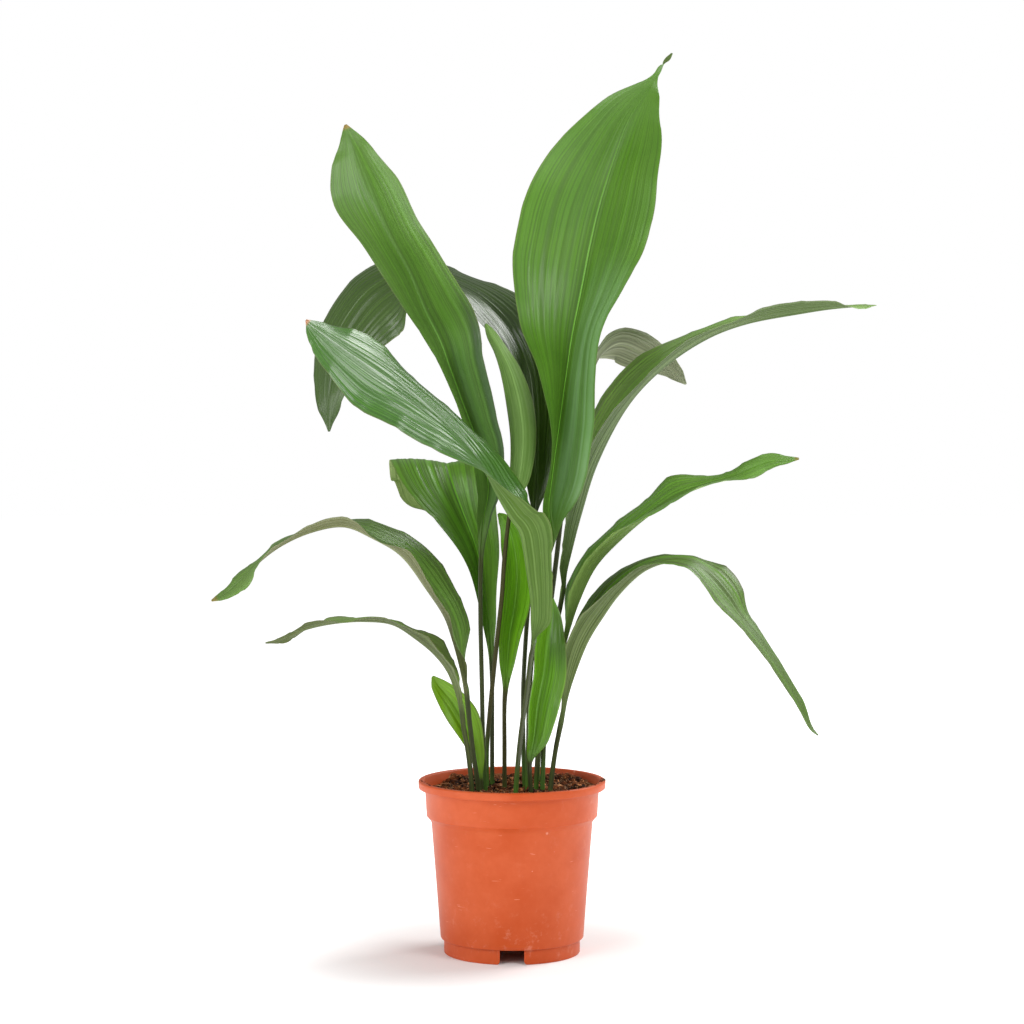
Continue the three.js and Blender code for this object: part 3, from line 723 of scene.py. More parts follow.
def veined(tree, veins, colour, ribs, light, share, dark):
    """A skin colour with its fine veins lighter by a share and its broad stripes darker."""
    skin = blend_colours(tree, veins["Fine"], darker(colour, 1 - 0.26 * ribs),
                         towards(colour, light, share * ribs))
    return tint(tree, veins["Broad"], 0.35 * ribs, skin, darker(colour, dark))


def upper_skin(tree, look, widest, across, along, from_rib, veins):
    """The upper side: its midrib, painted shade in the groove on each side of it, a patch of painted shade
    and a painted pale sheen.
    """
    top = veined(tree, veins, look["upper"], look["ribs"], look["midrib"], 0.22, 0.66)
    line = ramp_value(tree, from_rib, 0.4 / widest, 1.1 / widest, 1.0, 0.0)
    fade = ramp_value(tree, along, 0.25, 0.70, 1.0, 0.15)
    # Painted shade in the grooves beside the midrib, fading out towards the tip.
    beside = ramp_value(tree, from_rib, 1.4 / widest, 4.5 / widest, 0.45, 0.0)
    top = tint(tree, beside, fade, top, darker(look["upper"], 0.5))
    top = tint(tree, line, fade, top, look["midrib"])
    # Painted shade: a patch of the upper side darkened where the blade turns away into the shade of the
    # leaves beside it.
    strength, *shaded_part = look["dark"]
    muted = part_of_blade(tree, across, along, *shaded_part)
    top = tint(tree, muted, strength, top, darker(look["upper"], 0.12))
    # Painted sheen: a pale glossy reflection low on one side of the blade, broken by the broad stripes.
    sheen = part_of_blade(tree, across, along, 0.54, 0.08, 0.44)
    sheen = times(tree, sheen, ramp_value(tree, veins["Broad"], 0.0, 1.0, 1.0, 0.35))
    return tint(tree, sheen, look["painted_sheen"], top, PALE_SHEEN)


def stalk_skin(tree, look, along, veins):
    """The stalk: streaked, and a fresher green at its foot."""
    stalk = blend_colours(tree, ramp_value(tree, along, *FOOT_END), look["foot"], look["stalk"])
    streak = blend_colours(tree, veins["Fine"], (0.6, 0.6, 0.6), (1.3, 1.3, 1.1))
    return blend_colours(tree, 0.8, stalk, streak, "MULTIPLY")


def leaf_material(name, look, widest, seed):
    """A leaf's skin: veins, midrib, stalk, brownish margin and dried tip."""
    material, tree, shader = new_material(name)
    place = add_node(tree, "ShaderNodeUVMap", uv_map="Blade").outputs[0]
    split = add_node(tree, "ShaderNodeSeparateXYZ", {0: place}).outputs
    below = calculate(tree, "GREATER_THAN", split[0], 1.5)
    across = calculate(tree, "SUBTRACT", split[0], times(tree, below, 2.0))
    along = split[1]
    from_middle = calculate(tree, "ABSOLUTE", calculate(tree, "SUBTRACT", across, 0.5))
    from_rib = times(tree, from_middle, 2.0)
    veins = effect(tree, "Leaf veins", veins_group, {
        "Across": across, "Along": along, "Count": 2 * widest / VEIN_SPACING, "Seed": seed})
    spots = effect(tree, "Patches and flecks", patches_group, {
        "Place": object_place(tree), "Patch size": 0.035, "Fleck size": 0.0006})

    top = upper_skin(tree, look, widest, across, along, from_rib, veins)
    bottom = veined(tree, veins, look["under"], look["ribs"], PALE_VEIN, 0.16, 0.5)
    colour = blend_colours(tree, below, top, bottom)
    colour = tint(tree, spots["Patch"], 0.22, colour, MOTTLE, "SOFT_LIGHT")
    colour = tint(tree, spots["Fleck"], 0.35, colour, PALE_FLECK)
    margin = times(tree, ramp_value(tree, from_rib, 1 - 1.4 / widest, 1 - 0.3 / widest),
                   ramp_value(tree, along, 0.0, 0.1))
    colour = tint(tree, margin, 0.35, colour, MARGIN_BROWN)
    colour = tint(tree, ramp_value(tree, along, *DRY_TIP), look["tip"], colour, TIP_BROWN)
    stalk = stalk_skin(tree, look, along, veins)
    colour = blend_colours(tree, ramp_value(tree, along, *BLADE_START), stalk, colour)
    tree.links.new(colour, shader.inputs["Base Color"])

    on_stalk = ramp_value(tree, along, *BLADE_START, 1.0, 0.0)
    muted = times(tree, calculate(tree, "MAXIMUM", below, on_stalk), 0.28)
    rough = calculate(tree, "ADD", look["gloss"], muted)
    rough = calculate(tree, "ADD", rough, times(tree, veins["Broad"], 0.10))
    tree.links.new(rough, shader.inputs["Roughness"])
    coat = times(tree, calculate(tree, "SUBTRACT", 1.0, below), look["coat"])
    tree.links.new(coat, shader.inputs["Coat Weight"])
    shader.inputs["Coat Roughness"].default_value = 0.15
    shader.inputs["Specular IOR Level"].default_value = 0.42
    add_bump(tree, shader, veins["Height"], 0.4 * look["ribs"], 0.0003)
    return material


def pot_material(colour):
    """Moulded terracotta-coloured plastic, dusty low down, and paler at its right edge, where that is partly
    dirt and partly a painted reflection, with fine scuffs.
    """
    material, tree, shader = new_material("Pot plastic")
    spot = object_place(tree)
    fine = effect(tree, "Patches and flecks", patches_group, {
        "Place": spot, "Patch size": 0.012, "Fleck size": 0.0007})
    large = effect(tree, "Patches and flecks", patches_group, {
        "Place": spot, "Patch size": 0.05, "Fleck size": 0.0016})
    base = blend_colours(
        tree, large["Patch"], darker(colour, 0.93), towards(colour, (0.9, 0.3, 0.16), 0.15))
    base = tint(tree, fine["Patch"], 0.3, base, darker(colour, 0.88))
    split = add_node(tree, "ShaderNodeSeparateXYZ", {0: spot}).outputs
    # Dusty all over, more so low down; towards the right edge the pale dusting is also a painted reflection.
    low = ramp_value(tree, split[2], 0.012, 0.06, 1.0, 0.15)
    rightwards = calculate(tree, "ADD", split[0], -POT_CENTRE.x)
    side = ramp_value(tree, rightwards, 0.045, 0.065, 0.15, 1.0)
    dust_and_sheen_mask = calculate(tree, "MAXIMUM", times(tree, low, 0.7), side)
    blotches = soft_noise(tree, spot, 110.0, 6.0, 0.75)
    dust_and_sheen = times(tree, ramp_value(tree, blotches, 0.54, 0.74), dust_and_sheen_mask)
    base = tint(tree, dust_and_sheen, 0.34, base, (0.80, 0.46, 0.34))
    scuff = scuff_lines(tree, spot)
    base = tint(tree, scuff, 0.35, base, (0.85, 0.42, 0.28))
    marks = calculate(tree, "MAXIMUM", fine["Fleck"], large["Fleck"])
    base = tint(tree, marks, 0.30, base, (0.88, 0.55, 0.42))
    tree.links.new(base, shader.inputs["Base Color"])
    rough = ramp_value(tree, calculate(tree, "MAXIMUM", dust_and_sheen, scuff), 0.0, 1.0, 0.44, 0.72)
    tree.links.new(rough, shader.inputs["Roughness"])
    shader.inputs["Specular IOR Level"].default_value = 0.24
    grain = soft_noise(tree, spot, 900.0, 2.0)
    add_bump(tree, shader, calculate(tree, "ADD", grain, times(tree, scuff, 0.6)), 0.18, 0.0002)
    return material


def scuff_lines(tree, spot):
    """Thin broken scratches that run mostly round the pot."""
    squashed = add_node(tree, "ShaderNodeMapping", {"Vector": spot, "Scale": (90.0, 90.0, 900.0)})
    line = soft_noise(tree, squashed.outputs[0], 1.0, 1.0)
    gate = soft_noise(tree, spot, 60.0, 1.0)
    return times(tree, ramp_value(tree, line, 0.70, 0.74), ramp_value(tree, gate, 0.55, 0.65))


def soil_material(name, colour, light, grain):
    """Damp potting mix, from near black to a red brown, rough all over."""
    material, tree, shader = new_material(name)
    spot = object_place(tree)
    coarse = soft_noise(tree, spot, 75.0, 6.0, 0.75)
    fine = soft_noise(tree, spot, grain, 3.0, 0.7)
    base = blend_colours(tree, ramp_value(tree, coarse, 0.42, 0.58), darker(colour, 0.10), colour)
    base = blend_colours(tree, ramp_value(tree, fine, 0.54, 0.64), base, light)
    tree.links.new(base, shader.inputs["Base Color"])
    tree.links.new(ramp_value(tree, fine, 0.3, 0.7, 0.95, 0.7), shader.inputs["Roughness"])
    shader.inputs["Specular IOR Level"].default_value = 0.15
    add_bump(tree, shader, calculate(tree, "ADD", coarse, fine), 0.9, 0.0015)
    return material


# ---- pot

def arc(r, z, radius, start, end, count=6):
    """Points on part of a circle, in degrees from outwards."""
    angles = np.radians(np.linspace(start, end, count))
    return [(r + radius * math.cos(a), z + radius * math.sin(a)) for a in angles]


def pot_profile(wall):
    """The closed outline from the axis: under the floor, up the outside and down the inside."""
    foot_top = FOOT_R + FOOT_DRAFT
    inner_foot = FOOT_R - FOOT_WIDTH
    outside = [(inner_foot, FLOOR_UNDERSIDE)]
    outside += arc(inner_foot + FOOT_INNER_ROUND, FOOT_INNER_ROUND, FOOT_INNER_ROUND, 180, 270, 4)
    outside += arc(FOOT_R - FOOT_OUTER_ROUND, FOOT_OUTER_ROUND, FOOT_OUTER_ROUND, 270, 360, 4)
    outside += [(foot_top, FOOT_HEIGHT - 0.5), (foot_top, FOOT_HEIGHT)]
    outside += arc(BODY_BOTTOM_R - BODY_ROUND, FOOT_HEIGHT + BODY_ROUND + 0.2, BODY_ROUND, 270, 358, 5)
    outside += [(BODY_TOP_R, BODY_TOP_Z), (BODY_TOP_R + 0.5, BODY_TOP_Z + 1)]
    outside += [(COLLAR_BOTTOM_R - 0.8, COLLAR_BOTTOM_Z - 1)]
    outside += arc(COLLAR_BOTTOM_R - COLLAR_ROUND, COLLAR_BOTTOM_Z, COLLAR_ROUND, 300, 360, 4)
    outside += [(COLLAR_TOP_R, LIP_BOTTOM - 0.8), (COLLAR_TOP_R + 0.5, LIP_BOTTOM)]
    outside += [(RIM_R - 2.6, LIP_BOTTOM + 0.2)]
    outside += arc(RIM_R - 1, LIP_BOTTOM + LIP_LOW_ROUND + 0.2, LIP_LOW_ROUND, 275, 350, 5)
    outside += arc(RIM_R - LIP_ROUND, POT_HEIGHT - LIP_ROUND, LIP_ROUND, 0, 90, 6)
    inside = arc(COLLAR_TOP_R + 2.2, POT_HEIGHT - LIP_INNER_ROUND, LIP_INNER_ROUND, 90, 170, 5)
    inside += [(COLLAR_TOP_R - wall, LIP_BOTTOM - 1), (COLLAR_BOTTOM_R - wall, COLLAR_BOTTOM_Z + 1)]
    inner_wall, corner_z = BODY_BOTTOM_R - wall, FLOOR_TOP + FLOOR_CORNER_R
    inside += [(BODY_TOP_R - wall, BODY_TOP_Z), (inner_wall, corner_z)]
    inside += arc(inner_wall - FLOOR_CORNER_R, corner_z, FLOOR_CORNER_R, 350, 270, 5)
    return outside + inside


def turned(profile, sides):
    """Points and faces of a profile turned round the pot's axis, row by row."""
    angles = np.linspace(0, 2 * math.pi, sides, endpoint=False)
    points = [(r * math.cos(a), r * math.sin(a), z) for r, z in profile for a in angles]
    return points, grid_faces(len(profile), sides)


def prism(outline, depth, place):
    """A closed prism: an outline of (across, up) pushed along the way that place gives."""
    points = [place(u, v, 0) for u, v in outline] + [place(u, v, depth) for u, v in outline]
    count = len(outline)
    faces = [tuple(range(count)), tuple(range(2 * count - 1, count - 1, -1))]
    faces += [(i, i + count, (i + 1) % count + count, (i + 1) % count) for i in range(count)]
    return points, faces


def notch_outline():
    """Half a slot on each side of its middle, with flared corners at the floor."""
    half, r = NOTCH_WIDTH / 2, NOTCH_CORNER_R
    left = [(-half - r, -1)] + arc(-half - r, r, r, -90, 0, 6) + [(-half, FOOT_HEIGHT)]
    return left + [(-u, v) for u, v in reversed(left)]


def cut(piece, points, faces):
    """Takes a closed shape out of a piece."""
    cutter = make_piece("cutter", points, faces, piece.data.materials[0])
    modifier = piece.modifiers.new("cut", "BOOLEAN")
    modifier.operation = "DIFFERENCE"
    modifier.solver = "EXACT"
    modifier.object = cutter
    bpy.context.view_layer.update()
    evaluated = piece.evaluated_get(bpy.context.evaluated_depsgraph_get())
    result = bpy.data.meshes.new_from_object(evaluated)
    piece.modifiers.clear()
    edited = bmesh.new()
    edited.from_mesh(result)
    bmesh.ops.remove_doubles(edited, verts=edited.verts, dist=0.001 * MM)
    edited.to_mesh(result)
    edited.free()
    piece.data = result
    bpy.data.objects.remove(cutter)


def cut_notch(pot, turn):
    """A slot through the foot ring, turned about the pot's axis."""
    out_x, out_y = math.cos(turn), math.sin(turn)
    near = FOOT_R - FOOT_WIDTH - 5
    cut(pot, *prism(notch_outline(), NOTCH_CUT, lambda u, v, w: (
        out_x * (near + w) - out_y * u, out_y * (near + w) + out_x * u, v)))


def cut_drain_hole(pot, turn):
    """A round hole through the floor, turned about the pot's axis."""
    x, y = DRAIN_CIRCLE_R * math.cos(turn), DRAIN_CIRCLE_R * math.sin(turn)
    ring = arc(0, 0, DRAIN_HOLE_R, 0, 345, 24)
    under = FLOOR_UNDERSIDE - 3
    cut(pot, *prism(ring, DRAIN_CUT, lambda u, v, w: (x + u, y + v, under + w)))


def make_pot(wall, colour):
    points, faces = turned(pot_profile(wall), POT_SIDES)
    close_ends(points, faces, POT_SIDES, FLOOR_UNDERSIDE, FLOOR_TOP)
    pot = make_piece("pot_shell", points, faces, pot_material(colour))
    for i in range(NOTCHES):
        cut_notch(pot, i * 2 * math.pi / NOTCHES - math.pi / 2)
    for i in range(DRAIN_HOLES):
        cut_drain_hole(pot, (i + 0.5) * 2 * math.pi / DRAIN_HOLES)
    pot.data.polygons.foreach_set("use_smooth", np.ones(len(pot.data.polygons), dtype=bool))
    pot.data.set_sharp_from_angle(angle=SHARPEST_SMOOTH)
    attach(pot, "root")
    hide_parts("pot")


# ---- soil

def soil_top(x, y):
    """The height of the soil's top, in millimetres."""
    z = SOIL_LEVEL
    for heap_x, heap_y, radius, height in SOIL_HEAPS:
        z += height * math.exp(-((x - heap_x) ** 2 + (y - heap_y) ** 2) / radius ** 2)
    waves = math.sin(x * 0.55) * math.sin(y * 0.61) + math.sin(x * 0.23 + y * 0.31)
    return z + 0.7 * waves


def rough_top(x, y):
    """The soil's top with its small lumps."""
    lumps = noise.fractal(Vector((x, y, 3)) / 7, 0.9, 2.1, 5)
    pits = noise.cell(Vector((x, y, 0)) / 2.6)
    return soil_top(x, y) + 1.1 * lumps + 0.5 * pits - 0.5


def soil_bed(material):
    """The mix as one block that fills the pot, with a crumbly top."""
    edge = COLLAR_TOP_R - WALL - SOIL_GAP - 0.6
    walls = [
        (BODY_BOTTOM_R - WALL - 3, FLOOR_TOP + 0.4), (BODY_BOTTOM_R - WALL - 0.4, FLOOR_TOP + 3.4),
        (BODY_TOP_R - WALL - 0.4, BODY_TOP_Z), (COLLAR_BOTTOM_R - WALL - 0.4, COLLAR_BOTTOM_Z + 1.5),
    ]
    top = [(edge * (1 - i / SOIL_RINGS), SOIL_LEVEL) for i in range(SOIL_RINGS)]
    points, faces = turned(walls + top, SOIL_SIDES)
    for i in range(len(walls) * SOIL_SIDES, len(points)):
        x, y, _ = points[i]
        points[i] = (x, y, rough_top(x, y))
    close_ends(points, faces, SOIL_SIDES, walls[0][1], rough_top(0, 0))
    bed = make_piece("soil_bed", points, faces, material)
    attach(bed, "root")
    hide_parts("soil")


def lump(rng, size, squash):
    """One crumb: a small ball pushed out of shape."""
    ball = bmesh.new()
    bmesh.ops.create_icosphere(ball, subdivisions=2, radius=1)
    points = np.array([v.co for v in ball.verts])
    faces = [tuple(v.index for v in face.verts) for face in ball.faces]
    ball.free()
    offset = Vector(rng.uniform(-50, 50, 3))
    push = np.array([1 + 0.55 * noise.noise(Vector(p) * 1.3 + offset) for p in points])
    points = points * push[:, None] * size * np.array((1, rng.uniform(0.6, 1), squash))
    turn, tilt = rng.uniform(0, 2 * math.pi), rng.uniform(-0.6, 0.6)
    spin = np.array(Matrix.Rotation(turn, 3, "Z") @ Matrix.Rotation(tilt, 3, "X"))
    return points @ spin.T, faces


def join_shapes(name, shapes, material):
    """Many small closed shapes as one piece."""
    points, faces = [], []
    for shape_points, shape_faces in shapes:
        start = len(points)
        points.extend(shape_points.tolist())
        faces.extend(tuple(i + start for i in face) for face in shape_faces)
    piece = make_piece(name, points, faces, material)
    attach(piece, "root")
    return piece


def spot_on_soil(rng, edge=LITTER_R):
    """A random place on the soil, evenly spread."""
    radius, angle = edge * math.sqrt(rng.random()), rng.uniform(0, 2 * math.pi)
    x, y = radius * math.cos(angle), radius * math.sin(angle)
    return np.array((x, y, rough_top(x, y)))


def fibre(rng, start, length, radius, rise):
    """A thin curved hair of coir lying on the soil."""
    heading = rng.uniform(0, 2 * math.pi)
    bend = rng.uniform(-0.12, 0.12) * 12 / length
    rows, sides = 9, 5
    step = length / (rows - 1)
    points, spot = [], start.copy()
    for i in range(rows):
        middle = spot + np.array((0, 0, 0.3 + rise * math.sin(math.pi * i / (rows - 1))))
        points += ring_across(middle, heading, radius, sides)
        spot = spot + step * np.array((math.cos(heading), math.sin(heading), 0))
        if math.hypot(spot[0], spot[1]) > LITTER_R + 1:
            spot = spot * np.array((0.97, 0.97, 1))
        spot[2] = rough_top(spot[0], spot[1])
        heading += bend * step
    return np.array(points), tube_faces(rows, sides)


def make_crumbs(count, seed):
    """Crumbs of peat and chips of bark on the soil."""
    rng = np.random.default_rng(seed)
    dark, chips = [], []
    for _ in range(count):
        size = rng.uniform(0.5, 1.2) + 2.8 * rng.random() ** 3
        points, faces = lump(rng, size, rng.uniform(0.5, 0.9))
        dark.append((points + spot_on_soil(rng) + (0, 0, 0.25 * size), faces))
    for _ in range(count // 8):
        size = rng.uniform(1.3, 3.8)
        points, faces = lump(rng, size, rng.uniform(0.18, 0.35))
        chips.append((points * (1.5, 0.8, 1) + spot_on_soil(rng) + (0, 0, 0.4 * size), faces))
    crumb = soil_material("Peat crumb", (0.150, 0.040, 0.010), (0.500, 0.190, 0.065), 260.0)
    bark = soil_material("Bark chip", (0.200, 0.070, 0.024), (0.580, 0.280, 0.120), 220.0)
    join_shapes("peat_crumbs", dark, crumb)
    join_shapes("bark_chips", chips, bark)


def make_fibres(count, seed):
    rng = np.random.default_rng(seed)
    shapes = [
        fibre(rng, spot_on_soil(rng, 60), rng.uniform(5, 20), rng.uniform(0.10, 0.24), rng.uniform(0.2, 1.6))
        for _ in range(count)
    ]
    coir = soil_material("Coir", (0.34, 0.17, 0.085), (0.55, 0.34, 0.19), 300.0)
    join_shapes("coir_fibres", shapes, coir)


def make_rim_litter(count, seed):
    """Crumbs left on the pot's rim and bent bits of twig at its right."""
    rng = np.random.default_rng(seed)
    shapes = []
    for _ in range(count):
        angle = math.radians(rng.uniform(185, 362))
        size = rng.uniform(0.25, 0.75)
        radius = RIM_R - rng.uniform(1.6, 4.2)
        points, faces = lump(rng, size, 0.6)
        place = np.array((radius * math.cos(angle), radius * math.sin(angle), POT_HEIGHT + 0.25 * size))
        shapes.append((points + place, faces))
    crumb = soil_material("Rim crumb", (0.30, 0.10, 0.05), (0.62, 0.36, 0.22), 500.0)
    join_shapes("rim_crumbs", shapes, crumb)
    twig = soil_material("Twig", (0.16, 0.09, 0.05), (0.40, 0.27, 0.16), 400.0)
    parts = []
    for heading, length, x, y in ((1.9, 9, 73.0, -7.0), (2.6, 6, 74.0, -3.0), (1.2, 5, 72.0, -10.0)):
        points, faces = twig_shape(rng, heading, length, 0.45)
        parts.append((points + (x, y, POT_HEIGHT + 0.45), faces))
    join_shapes("rim_twigs", parts, twig)


def twig_shape(rng, heading, length, radius):
    """A short crooked stick of seven sides that thins to its far end."""
    rows, sides = 7, 7
    points = []
    spot = np.zeros(3)
    for i in range(rows):
        points += ring_across(spot, heading, radius * (1 - 0.5 * i / (rows - 1)), sides)
        spot = spot + length / (rows - 1) * np.array((math.cos(heading), math.sin(heading), 0.04))
        heading += rng.uniform(-0.35, 0.35)
    return np.array(points), tube_faces(rows, sides)


# ---- leaves

def make_leaves(group, thickness):
    for name in GROUPS[group]:
        leaf, look = LEAVES[name], {**MATURE, **LOOKS[name]}
        widest = max(row[3] for row in leaf["blade"])
        seed = float(sum(map(ord, name)) % 97)
        material = leaf_material(name.replace("leaf_", "Leaf ").replace("_", " "), look, widest, seed)
        blade = leaf_mesh(name, leaf, look, thickness, material)
        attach(blade, "root")
        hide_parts(name)


# ---- studio

def make_floor(tone, glow):
    """A pale floor under the whole view, which glows to plain white away from the pot."""
    material, tree, shader = new_material("Studio floor")
    away = add_node(
        tree, "ShaderNodeVectorMath", {0: object_place(tree), 1: POT_CENTRE}, operation="DISTANCE")
    far = ramp_value(tree, away.outputs["Value"], GLOW_START, GLOW_FULL)
    light = blend_colours(tree, far, (0, 0, 0), (glow, glow, glow))
    tree.links.new(light, shader.inputs["Emission Color"])
    shader.inputs["Emission Strength"].default_value = 1.0
    shader.inputs["Base Color"].default_value = (*tone, 1)
    shader.inputs["Roughness"].default_value = 0.9
    corners = [(x * STUDIO_HALF, y * STUDIO_HALF, 0) for x, y in ((-1, -1), (1, -1), (1, 1), (-1, 1))]
    mesh = bpy.data.meshes.new("studio_floor")
    mesh.from_pydata(corners, [], [(0, 1, 2, 3)])
    mesh.materials.append(material)
    floor = bpy.data.objects.new("studio_floor", mesh)
    bpy.context.scene.collection.objects.link(floor)


def add_softbox(name, place, target, size, power):
    light = bpy.data.lights.new(name, "AREA")
    light.shape = "RECTANGLE"
    light.size, light.size_y = size
    light.energy = power
    lamp = bpy.data.objects.new(name, light)
    lamp.location = place
    lamp.rotation_euler = (Vector(target) - Vector(place)).to_track_quat("-Z", "Y").to_euler()
    bpy.context.scene.collection.objects.link(lamp)


def make_sky(strength):
    """Even white light from all round, seen as plain white behind the plant."""
    world = bpy.data.worlds.new("Studio")
    bpy.context.scene.world = world
    world.use_nodes = True
    tree = world.node_tree
    tree.nodes.clear()
    seen = add_node(tree, "ShaderNodeLightPath").outputs["Is Camera Ray"]
    level = ramp_value(tree, seen, 0.0, 1.0, strength, 1.0)
    sky = add_node(tree, "ShaderNodeBackground", {"Color": (1, 1, 1, 1), "Strength": level})
    out = add_node(tree, "ShaderNodeOutputWorld")
    tree.links.new(sky.outputs[0], out.inputs["Surface"])


def make_camera(distance, height, pitch, lens):
    data = bpy.data.cameras.new("Camera")
    data.lens = lens
    data.sensor_width = 36
    camera = bpy.data.objects.new("Camera", data)
    camera.location = (POT_CENTRE.x, POT_CENTRE.y - distance, height)
    camera.rotation_euler = (math.pi / 2 - pitch, 0, 0)
    bpy.context.scene.collection.objects.link(camera)
    bpy.context.scene.camera = camera


# ---- settings, operators and panel

class PlantPotSettings(bpy.types.PropertyGroup):
    wall: bpy.props.FloatProperty(
        name="Wall (mm)", description="Thickness of the pot's wall", default=WALL, min=0.8, max=4)
    colour: bpy.props.FloatVectorProperty(
        name="Plastic", description="Colour of the pot", subtype="COLOR", size=3, min=0, max=1,
        default=(0.53, 0.072, 0.0098))


class PlantLeafSettings(bpy.types.PropertyGroup):
    thickness: bpy.props.FloatProperty(
        name="Half thickness (mm)", description="Half the thickness of a blade in millimetres",
        default=0.35, min=0.15, max=0.6)


class PlantSoilSettings(bpy.types.PropertyGroup):
    colour: bpy.props.FloatVectorProperty(
        name="Mix", description="Colour of the damp mix", subtype="COLOR", size=3, min=0, max=1,
        default=(0.085, 0.024, 0.007))
    crumbs: bpy.props.IntProperty(
        name="Crumbs", description="How many crumbs lie on the soil", default=1300, min=0, max=3000)
    fibres: bpy.props.IntProperty(
        name="Fibres", description="How many hairs of coir lie on the soil", default=420, min=0, max=1500)
    litter: bpy.props.IntProperty(
        name="Rim crumbs", description="How many crumbs lie on the rim", default=70, min=0, max=300)
    seed: bpy.props.IntProperty(name="Seed", description="Seed of the scattered bits", default=7)


class PlantStageSettings(bpy.types.PropertyGroup):
    floor: bpy.props.FloatVectorProperty(
        name="Floor", description="Colour of the floor", subtype="COLOR", size=3, min=0, max=1,
        default=(0.93, 0.93, 0.93))
    glow: bpy.props.FloatProperty(
        name="Floor glow", description="Light given off by the floor away from the pot", default=0.65, min=0)
    fill: bpy.props.FloatProperty(
        name="Fill", description="Strength of the light all round", default=0.37, min=0)
    key: bpy.props.FloatProperty(
        name="Key", description="Power of the left softbox, which sets the others'", subtype="POWER",
        default=27.0, min=0)
    distance: bpy.props.FloatProperty(
        name="Distance", description="From the camera to the pot's axis", subtype="DISTANCE", default=2.314)
    height: bpy.props.FloatProperty(
        name="Height", description="Of the camera over the floor", subtype="DISTANCE", default=0.48)
    pitch: bpy.props.FloatProperty(
        name="Pitch", description="Of the camera below level", subtype="ANGLE", default=math.radians(3.186))
    lens: bpy.props.FloatProperty(
        name="Lens (mm)", description="Focal length on a 36 mm sensor", default=102.87, min=10)


class PLANT_OT_pot(bpy.types.Operator):
    """Make the nursery pot"""
    bl_idname = "plant.pot"
    bl_label = "Pot"

    def execute(self, context):
        settings = context.scene.plant_pot
        make_pot(settings.wall, tuple(settings.colour))
        return {"FINISHED"}


class PLANT_OT_soil(bpy.types.Operator):
    """Make the soil that fills the pot"""
    bl_idname = "plant.soil"
    bl_label = "Soil"

    def execute(self, context):
        colour = tuple(context.scene.plant_soil.colour)
        soil_bed(soil_material("Potting mix", colour, (0.38, 0.140, 0.050), 320.0))
        return {"FINISHED"}


class PLANT_OT_crumbs(bpy.types.Operator):
    """Scatter crumbs of peat and chips of bark on the soil"""
    bl_idname = "plant.crumbs"
    bl_label = "Crumbs and bark"

    def execute(self, context):
        settings = context.scene.plant_soil
        make_crumbs(settings.crumbs, settings.seed)
        return {"FINISHED"}


class PLANT_OT_fibres(bpy.types.Operator):
    """Lay hairs of coir on the soil"""
    bl_idname = "plant.fibres"
    bl_label = "Coir fibres"

    def execute(self, context):
        settings = context.scene.plant_soil
        make_fibres(settings.fibres, settings.seed + 1)
        return {"FINISHED"}


class PLANT_OT_litter(bpy.types.Operator):
    """Leave crumbs and bits of twig on the pot's rim"""
    bl_idname = "plant.litter"
    bl_label = "Rim litter"

    def execute(self, context):
        settings = context.scene.plant_soil
        make_rim_litter(settings.litter, settings.seed + 2)
        return {"FINISHED"}


class PLANT_OT_tall_leaves(bpy.types.Operator):
    """Make the tall leaves"""
    bl_idname = "plant.tall_leaves"
    bl_label = "Tall leaves"

    def execute(self, context):
        make_leaves("tall", context.scene.plant_leaves.thickness)
        return {"FINISHED"}


class PLANT_OT_arching_leaves(bpy.types.Operator):
    """Make the arching leaves"""
    bl_idname = "plant.arching_leaves"
    bl_label = "Arching leaves"

    def execute(self, context):
        make_leaves("arching", context.scene.plant_leaves.thickness)
        return {"FINISHED"}


class PLANT_OT_young_leaves(bpy.types.Operator):
    """Make the short young leaves"""
    bl_idname = "plant.young_leaves"
    bl_label = "Young leaves"

    def execute(self, context):
        make_leaves("young", context.scene.plant_leaves.thickness)
        return {"FINISHED"}


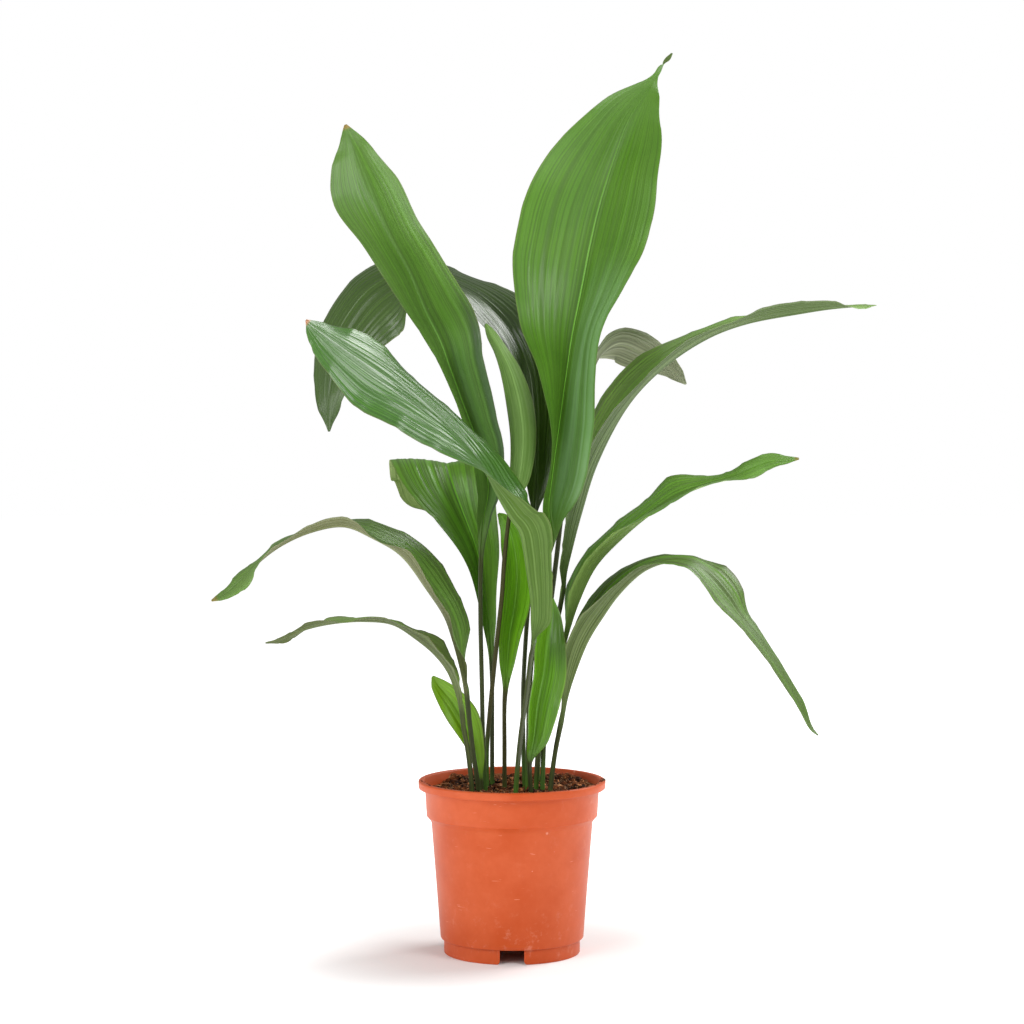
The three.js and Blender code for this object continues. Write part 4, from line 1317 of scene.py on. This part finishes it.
class PLANT_OT_stage(bpy.types.Operator):
    """Make the floor, the lights and the camera"""
    bl_idname = "plant.stage"
    bl_label = "Stage"

    def execute(self, context):
        settings = context.scene.plant_stage
        middle = (POT_CENTRE.x, POT_CENTRE.y, 0.4)
        make_floor(tuple(settings.floor), settings.glow)
        make_sky(settings.fill)
        add_softbox("Right softbox", (1.5, -1.7, 1.7), middle, (1.1, 1.1), settings.key * 0.85)
        add_softbox("Left softbox", (-1.5, -1.8, 1.5), middle, (1.4, 1.4), settings.key)
        add_softbox("Back softbox", (1.4, 0.8, 1.75), middle, (1.2, 1.2), settings.key * 1.4)
        add_softbox("Side softbox", (-2.3, -0.4, 0.35), middle, (1.6, 0.6), settings.key * 0.4)
        make_camera(settings.distance, settings.height, settings.pitch, settings.lens)
        context.scene.view_settings.view_transform = "Standard"
        return {"FINISHED"}


class PLANT_PT_sidebar(bpy.types.Panel):
    bl_label = "Potted cast iron plant"
    bl_space_type = "VIEW_3D"
    bl_region_type = "UI"
    bl_category = "Plant"

    def draw(self, context):
        for holder, _ in SETTINGS:
            settings = getattr(context.scene, holder)
            box = self.layout.box()
            for name in settings.__annotations__:
                box.prop(settings, name)
        for operator in OPERATORS:
            self.layout.operator(operator.bl_idname)


SETTINGS = [
    ("plant_pot", PlantPotSettings), ("plant_leaves", PlantLeafSettings),
    ("plant_soil", PlantSoilSettings), ("plant_stage", PlantStageSettings),
]
OPERATORS = [
    PLANT_OT_stage, PLANT_OT_pot, PLANT_OT_soil, PLANT_OT_crumbs, PLANT_OT_fibres, PLANT_OT_litter,
    PLANT_OT_tall_leaves, PLANT_OT_arching_leaves, PLANT_OT_young_leaves,
]


def register():
    for holder, settings in SETTINGS:
        bpy.utils.register_class(settings)
        setattr(bpy.types.Scene, holder, bpy.props.PointerProperty(type=settings))
    for shown in OPERATORS + [PLANT_PT_sidebar]:
        bpy.utils.register_class(shown)


def unregister():
    for shown in reversed(OPERATORS + [PLANT_PT_sidebar]):
        bpy.utils.unregister_class(shown)
    for holder, settings in reversed(SETTINGS):
        delattr(bpy.types.Scene, holder)
        bpy.utils.unregister_class(settings)


def main():
    register()
    bpy.ops.plant.stage()
    bpy.ops.plant.pot()
    bpy.ops.plant.soil()
    bpy.ops.plant.crumbs()
    bpy.ops.plant.fibres()
    bpy.ops.plant.litter()
    bpy.ops.plant.tall_leaves()
    bpy.ops.plant.arching_leaves()
    bpy.ops.plant.young_leaves()


if __name__ == "__main__":
    main()
